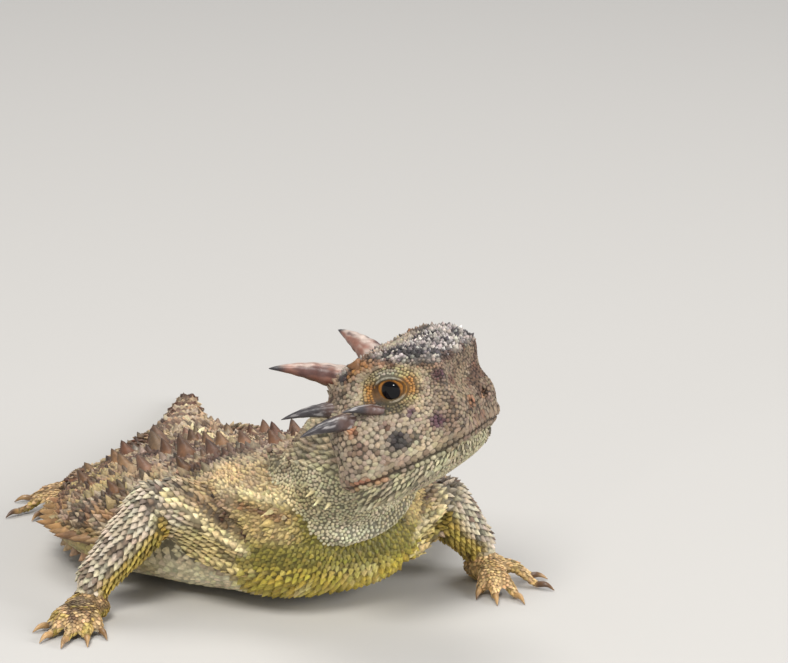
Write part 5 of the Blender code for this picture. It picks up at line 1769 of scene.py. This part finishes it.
def eye_finish():
    """A wet eye: black pupil, golden ring and dark rim, by the angle from the way it looks."""
    finish, _ = new_finish("Wet eye", {"Roughness": 0.35, "Specular IOR Level": 0.0, "Coat Weight": 0.5,
        "Coat Roughness": 0.02})
    angle = add_node(finish, "Attribute")
    angle.attribute_name = "off_axis"
    ramp = add_node(finish, "ValToRGB")
    iris = linear(bpy.context.scene.lizard_colours.iris)
    bands = ((0.0, (0.002, 0.002, 0.003)), (0.395, (0.002, 0.002, 0.003)), (0.42, iris * 0.3), (0.47, iris),
        (0.60, iris * 1.1), (0.70, iris * 0.35), (0.9, (0.01, 0.008, 0.006)))
    for place, colour in bands[1:-1]:
        ramp.color_ramp.elements.new(place)
    for element, (place, colour) in zip(sorted(ramp.color_ramp.elements, key=lambda e: e.position), bands):
        element.position = place
        element.color = (*[float(v) for v in colour], 1)
    join(finish, (angle, "Fac", ramp, "Fac"))
    speckle(finish, ramp, "Color", 1 / (0.25 * MM), 2, {"To Min": 0.5, "To Max": 1.5})
    return finish


def build_eyes():
    finish = eye_finish()
    for sign, side in ((1, "left"), (-1, "right")):
        bm = bmesh.new()
        look = head_way((EYE_LOOK[0], sign * EYE_LOOK[1], EYE_LOOK[2]))
        centre = on_head((0, sign * EYE_SIDE, 0))
        axes = Vector(look).to_track_quat("Z", "Y").to_matrix()
        ball(bm, centre, (EYE_RADIUS,) * 3, 0, axes, 48, 40)
        mesh = finished(bm, "eye")
        angle = np.arccos(np.clip(unit(points_of(mesh) - centre) @ look, -1, 1))
        mesh.attributes.new("off_axis", "FLOAT", "POINT").data.foreach_set("value", angle.astype(np.float32))
        mesh.transform(Matrix.Scale(MM, 4))
        smooth_shaded(mesh)
        make_object(f"Eye_{side}_wet", mesh, finish, (f"eye_{side}",))


def build_claws(finish):
    length = size_of("claw")
    bm = bmesh.new()
    for side in SIDES:
        for kind in ("hand", "foot"):
            for line, _, way in digit_lines(kind, side):
                shares = np.linspace(-0.25, 1, 10)
                drop = np.array((0, 0, -0.42)) * np.clip(shares, 0, 1)[:, None] ** 2
                arch = np.array((0, 0, 0.16)) * np.sin(np.clip(shares, 0, 1) * math.pi)[:, None]
                points = line[-1] - way * 0.2 + way * length * 0.82 * shares[:, None] + drop + arch
                points[:, 2] = np.maximum(points[:, 2], 0.12)
                wrap(bm, tube_rings(points, read(((-0.25, 0.30), (0.2, 0.32), (0.7, 0.17), (1, 0.03)), shares), 12))
    mesh = finished(bm, "Claws")
    points = points_of(mesh)
    points[:, 2] = np.maximum(points[:, 2], 0.0)
    set_points(mesh, points)
    store_colours(mesh, painted(all_over(points, linear((0.68, 0.54, 0.36))), linear((0.36, 0.26, 0.18)),
        ease(0.3, 0.8, noise(points, 1.2, 5))))
    smooth_shaded(mesh)
    make_object("Claws", mesh, finish)


# The studio

VIEW_AZIMUTH, VIEW_ELEVATION, VIEW_DISTANCE = -22, 15, 350.0
VIEW_TARGET = (10.05, -19.84, 25.65)
VIEW_LENS, SENSOR_WIDTH = 159.9, 36
FLOOR_SIZE = 1.5
FLOOR_COLOUR, SKY_COLOUR, SKY_STRENGTH = (0.48, 0.465, 0.44, 1), (0.9, 0.93, 1, 1), 0.38
# Soft lamps: name, place in metres, size, power and colour.
LAMPS = (
    ("Key", (-0.28, -0.42, 0.62), 0.28, 5.4, (1, 0.98, 0.94)),
    ("Catch light", (-0.53, -0.48, 0.13), 0.045, 0.4, (1, 1, 1)),
    ("Fill", (0.50, -0.50, 0.26), 0.4, 5, (0.96, 0.97, 1)),
    ("Top", (0.05, 0.30, 0.70), 0.4, 2.6, (1, 0.98, 0.95)),
)


def build_stage():
    bm = bmesh.new()
    bmesh.ops.create_grid(bm, x_segments=2, y_segments=2, size=FLOOR_SIZE)
    mesh = bpy.data.meshes.new("Floor")
    bm.to_mesh(mesh)
    bm.free()
    floor = linked("Floor", mesh)
    mesh.materials.append(new_finish("Pale floor", {"Base Color": FLOOR_COLOUR, "Roughness": 0.8})[0])
    azimuth, elevation = math.radians(VIEW_AZIMUTH), math.radians(VIEW_ELEVATION)
    way = Vector((math.sin(azimuth) * math.cos(elevation), -math.cos(azimuth) * math.cos(elevation),
        math.sin(elevation)))
    camera_data = bpy.data.cameras.new("Camera")
    camera_data.lens, camera_data.sensor_width, camera_data.sensor_fit = VIEW_LENS, SENSOR_WIDTH, "HORIZONTAL"
    camera_data.clip_start, camera_data.clip_end = 0.01, 20
    camera = linked("Camera", camera_data)
    camera.location = (Vector(VIEW_TARGET) + way * VIEW_DISTANCE) * MM
    camera.rotation_euler = way.to_track_quat("Z", "Y").to_euler()
    bpy.context.scene.camera = camera
    for name, place, size, power, colour in LAMPS:
        lamp = bpy.data.lights.new(name, "AREA")
        lamp.energy, lamp.size, lamp.color = power, size, colour
        holder = linked(name, lamp)
        holder.location = place
        holder.rotation_euler = (Vector(place) - Vector((0, -0.02, 0.01))).to_track_quat("Z", "Y").to_euler()
    world = bpy.data.worlds.new("Studio")
    world.use_nodes = True
    set_sockets(world.node_tree.nodes["Background"], {"Color": SKY_COLOUR, "Strength": SKY_STRENGTH})
    bpy.context.scene.world = world
    bpy.context.scene.view_settings.view_transform = "Standard"


# The add-on


class LIZARD_OT_skin(bpy.types.Operator):
    """Build the one continuous skin, with its folds, mouth, sockets and markings"""

    bl_idname = "lizard.skin"
    bl_label = "Skin"

    def execute(self, context):
        build_skin()
        return {"FINISHED"}


class LIZARD_OT_scales(bpy.types.Operator):
    """Cover the skin with granules, bumps and keeled scales"""

    bl_idname = "lizard.scales"
    bl_label = "Scales"

    def execute(self, context):
        finish = marked_material("Dry scales", 0.55, 0.16, 0.4)
        build_head_scales(finish)
        build_throat_scales(finish)
        build_lid_granules(finish)
        build_trunk_scales(finish)
        build_limb_scales(finish)
        return {"FINISHED"}


class LIZARD_OT_spines(bpy.types.Operator):
    """Stand the large spines and fringes on the body"""

    bl_idname = "lizard.spines"
    bl_label = "Spines and fringes"

    def execute(self, context):
        build_spines(marked_material("Spine scales", 0.5, 0.2, 0.35))
        return {"FINISHED"}


class LIZARD_OT_horns(bpy.types.Operator):
    """Build the eight horns of the head"""

    bl_idname = "lizard.horns"
    bl_label = "Horns"

    def execute(self, context):
        build_horns()
        return {"FINISHED"}


class LIZARD_OT_eyes(bpy.types.Operator):
    """Build both wet eyes"""

    bl_idname = "lizard.eyes"
    bl_label = "Eyes"

    def execute(self, context):
        build_eyes()
        return {"FINISHED"}


class LIZARD_OT_claws(bpy.types.Operator):
    """Build the claws of hands and feet"""

    bl_idname = "lizard.claws"
    bl_label = "Claws"

    def execute(self, context):
        build_claws(marked_material("Claw horn", 0.35, 0.3, 0.2, specular=0.5))
        return {"FINISHED"}


class LIZARD_OT_stage(bpy.types.Operator):
    """Set up the floor, the soft lights and the camera"""

    bl_idname = "lizard.stage"
    bl_label = "Floor, lights and camera"

    def execute(self, context):
        build_stage()
        return {"FINISHED"}


STEPS = (LIZARD_OT_skin, LIZARD_OT_scales, LIZARD_OT_spines, LIZARD_OT_horns, LIZARD_OT_eyes, LIZARD_OT_claws,
    LIZARD_OT_stage)


class LIZARD_PT_panel(bpy.types.Panel):
    """The lizard's colours, sizes and steps"""

    bl_label = "Horned lizard"
    bl_idname = "LIZARD_PT_panel"
    bl_space_type = "VIEW_3D"
    bl_region_type = "UI"
    bl_category = "Lizard"

    def draw(self, context):
        for group in (context.scene.lizard_sizes, context.scene.lizard_colours):
            for name in type(group).__annotations__:
                self.layout.prop(group, name)
        for step in STEPS:
            self.layout.operator(step.bl_idname)


CLASSES = (LizardColours, LizardSizes, *STEPS, LIZARD_PT_panel)


def register():
    for entry in CLASSES:
        bpy.utils.register_class(entry)
    bpy.types.Scene.lizard_colours = bpy.props.PointerProperty(type=LizardColours)
    bpy.types.Scene.lizard_sizes = bpy.props.PointerProperty(type=LizardSizes)


def unregister():
    del bpy.types.Scene.lizard_sizes
    del bpy.types.Scene.lizard_colours
    for entry in reversed(CLASSES):
        bpy.utils.unregister_class(entry)


def main():
    register()
    for step in STEPS:
        getattr(bpy.ops.lizard, step.bl_idname.split(".")[1])()


if __name__ == "__main__":
    main()
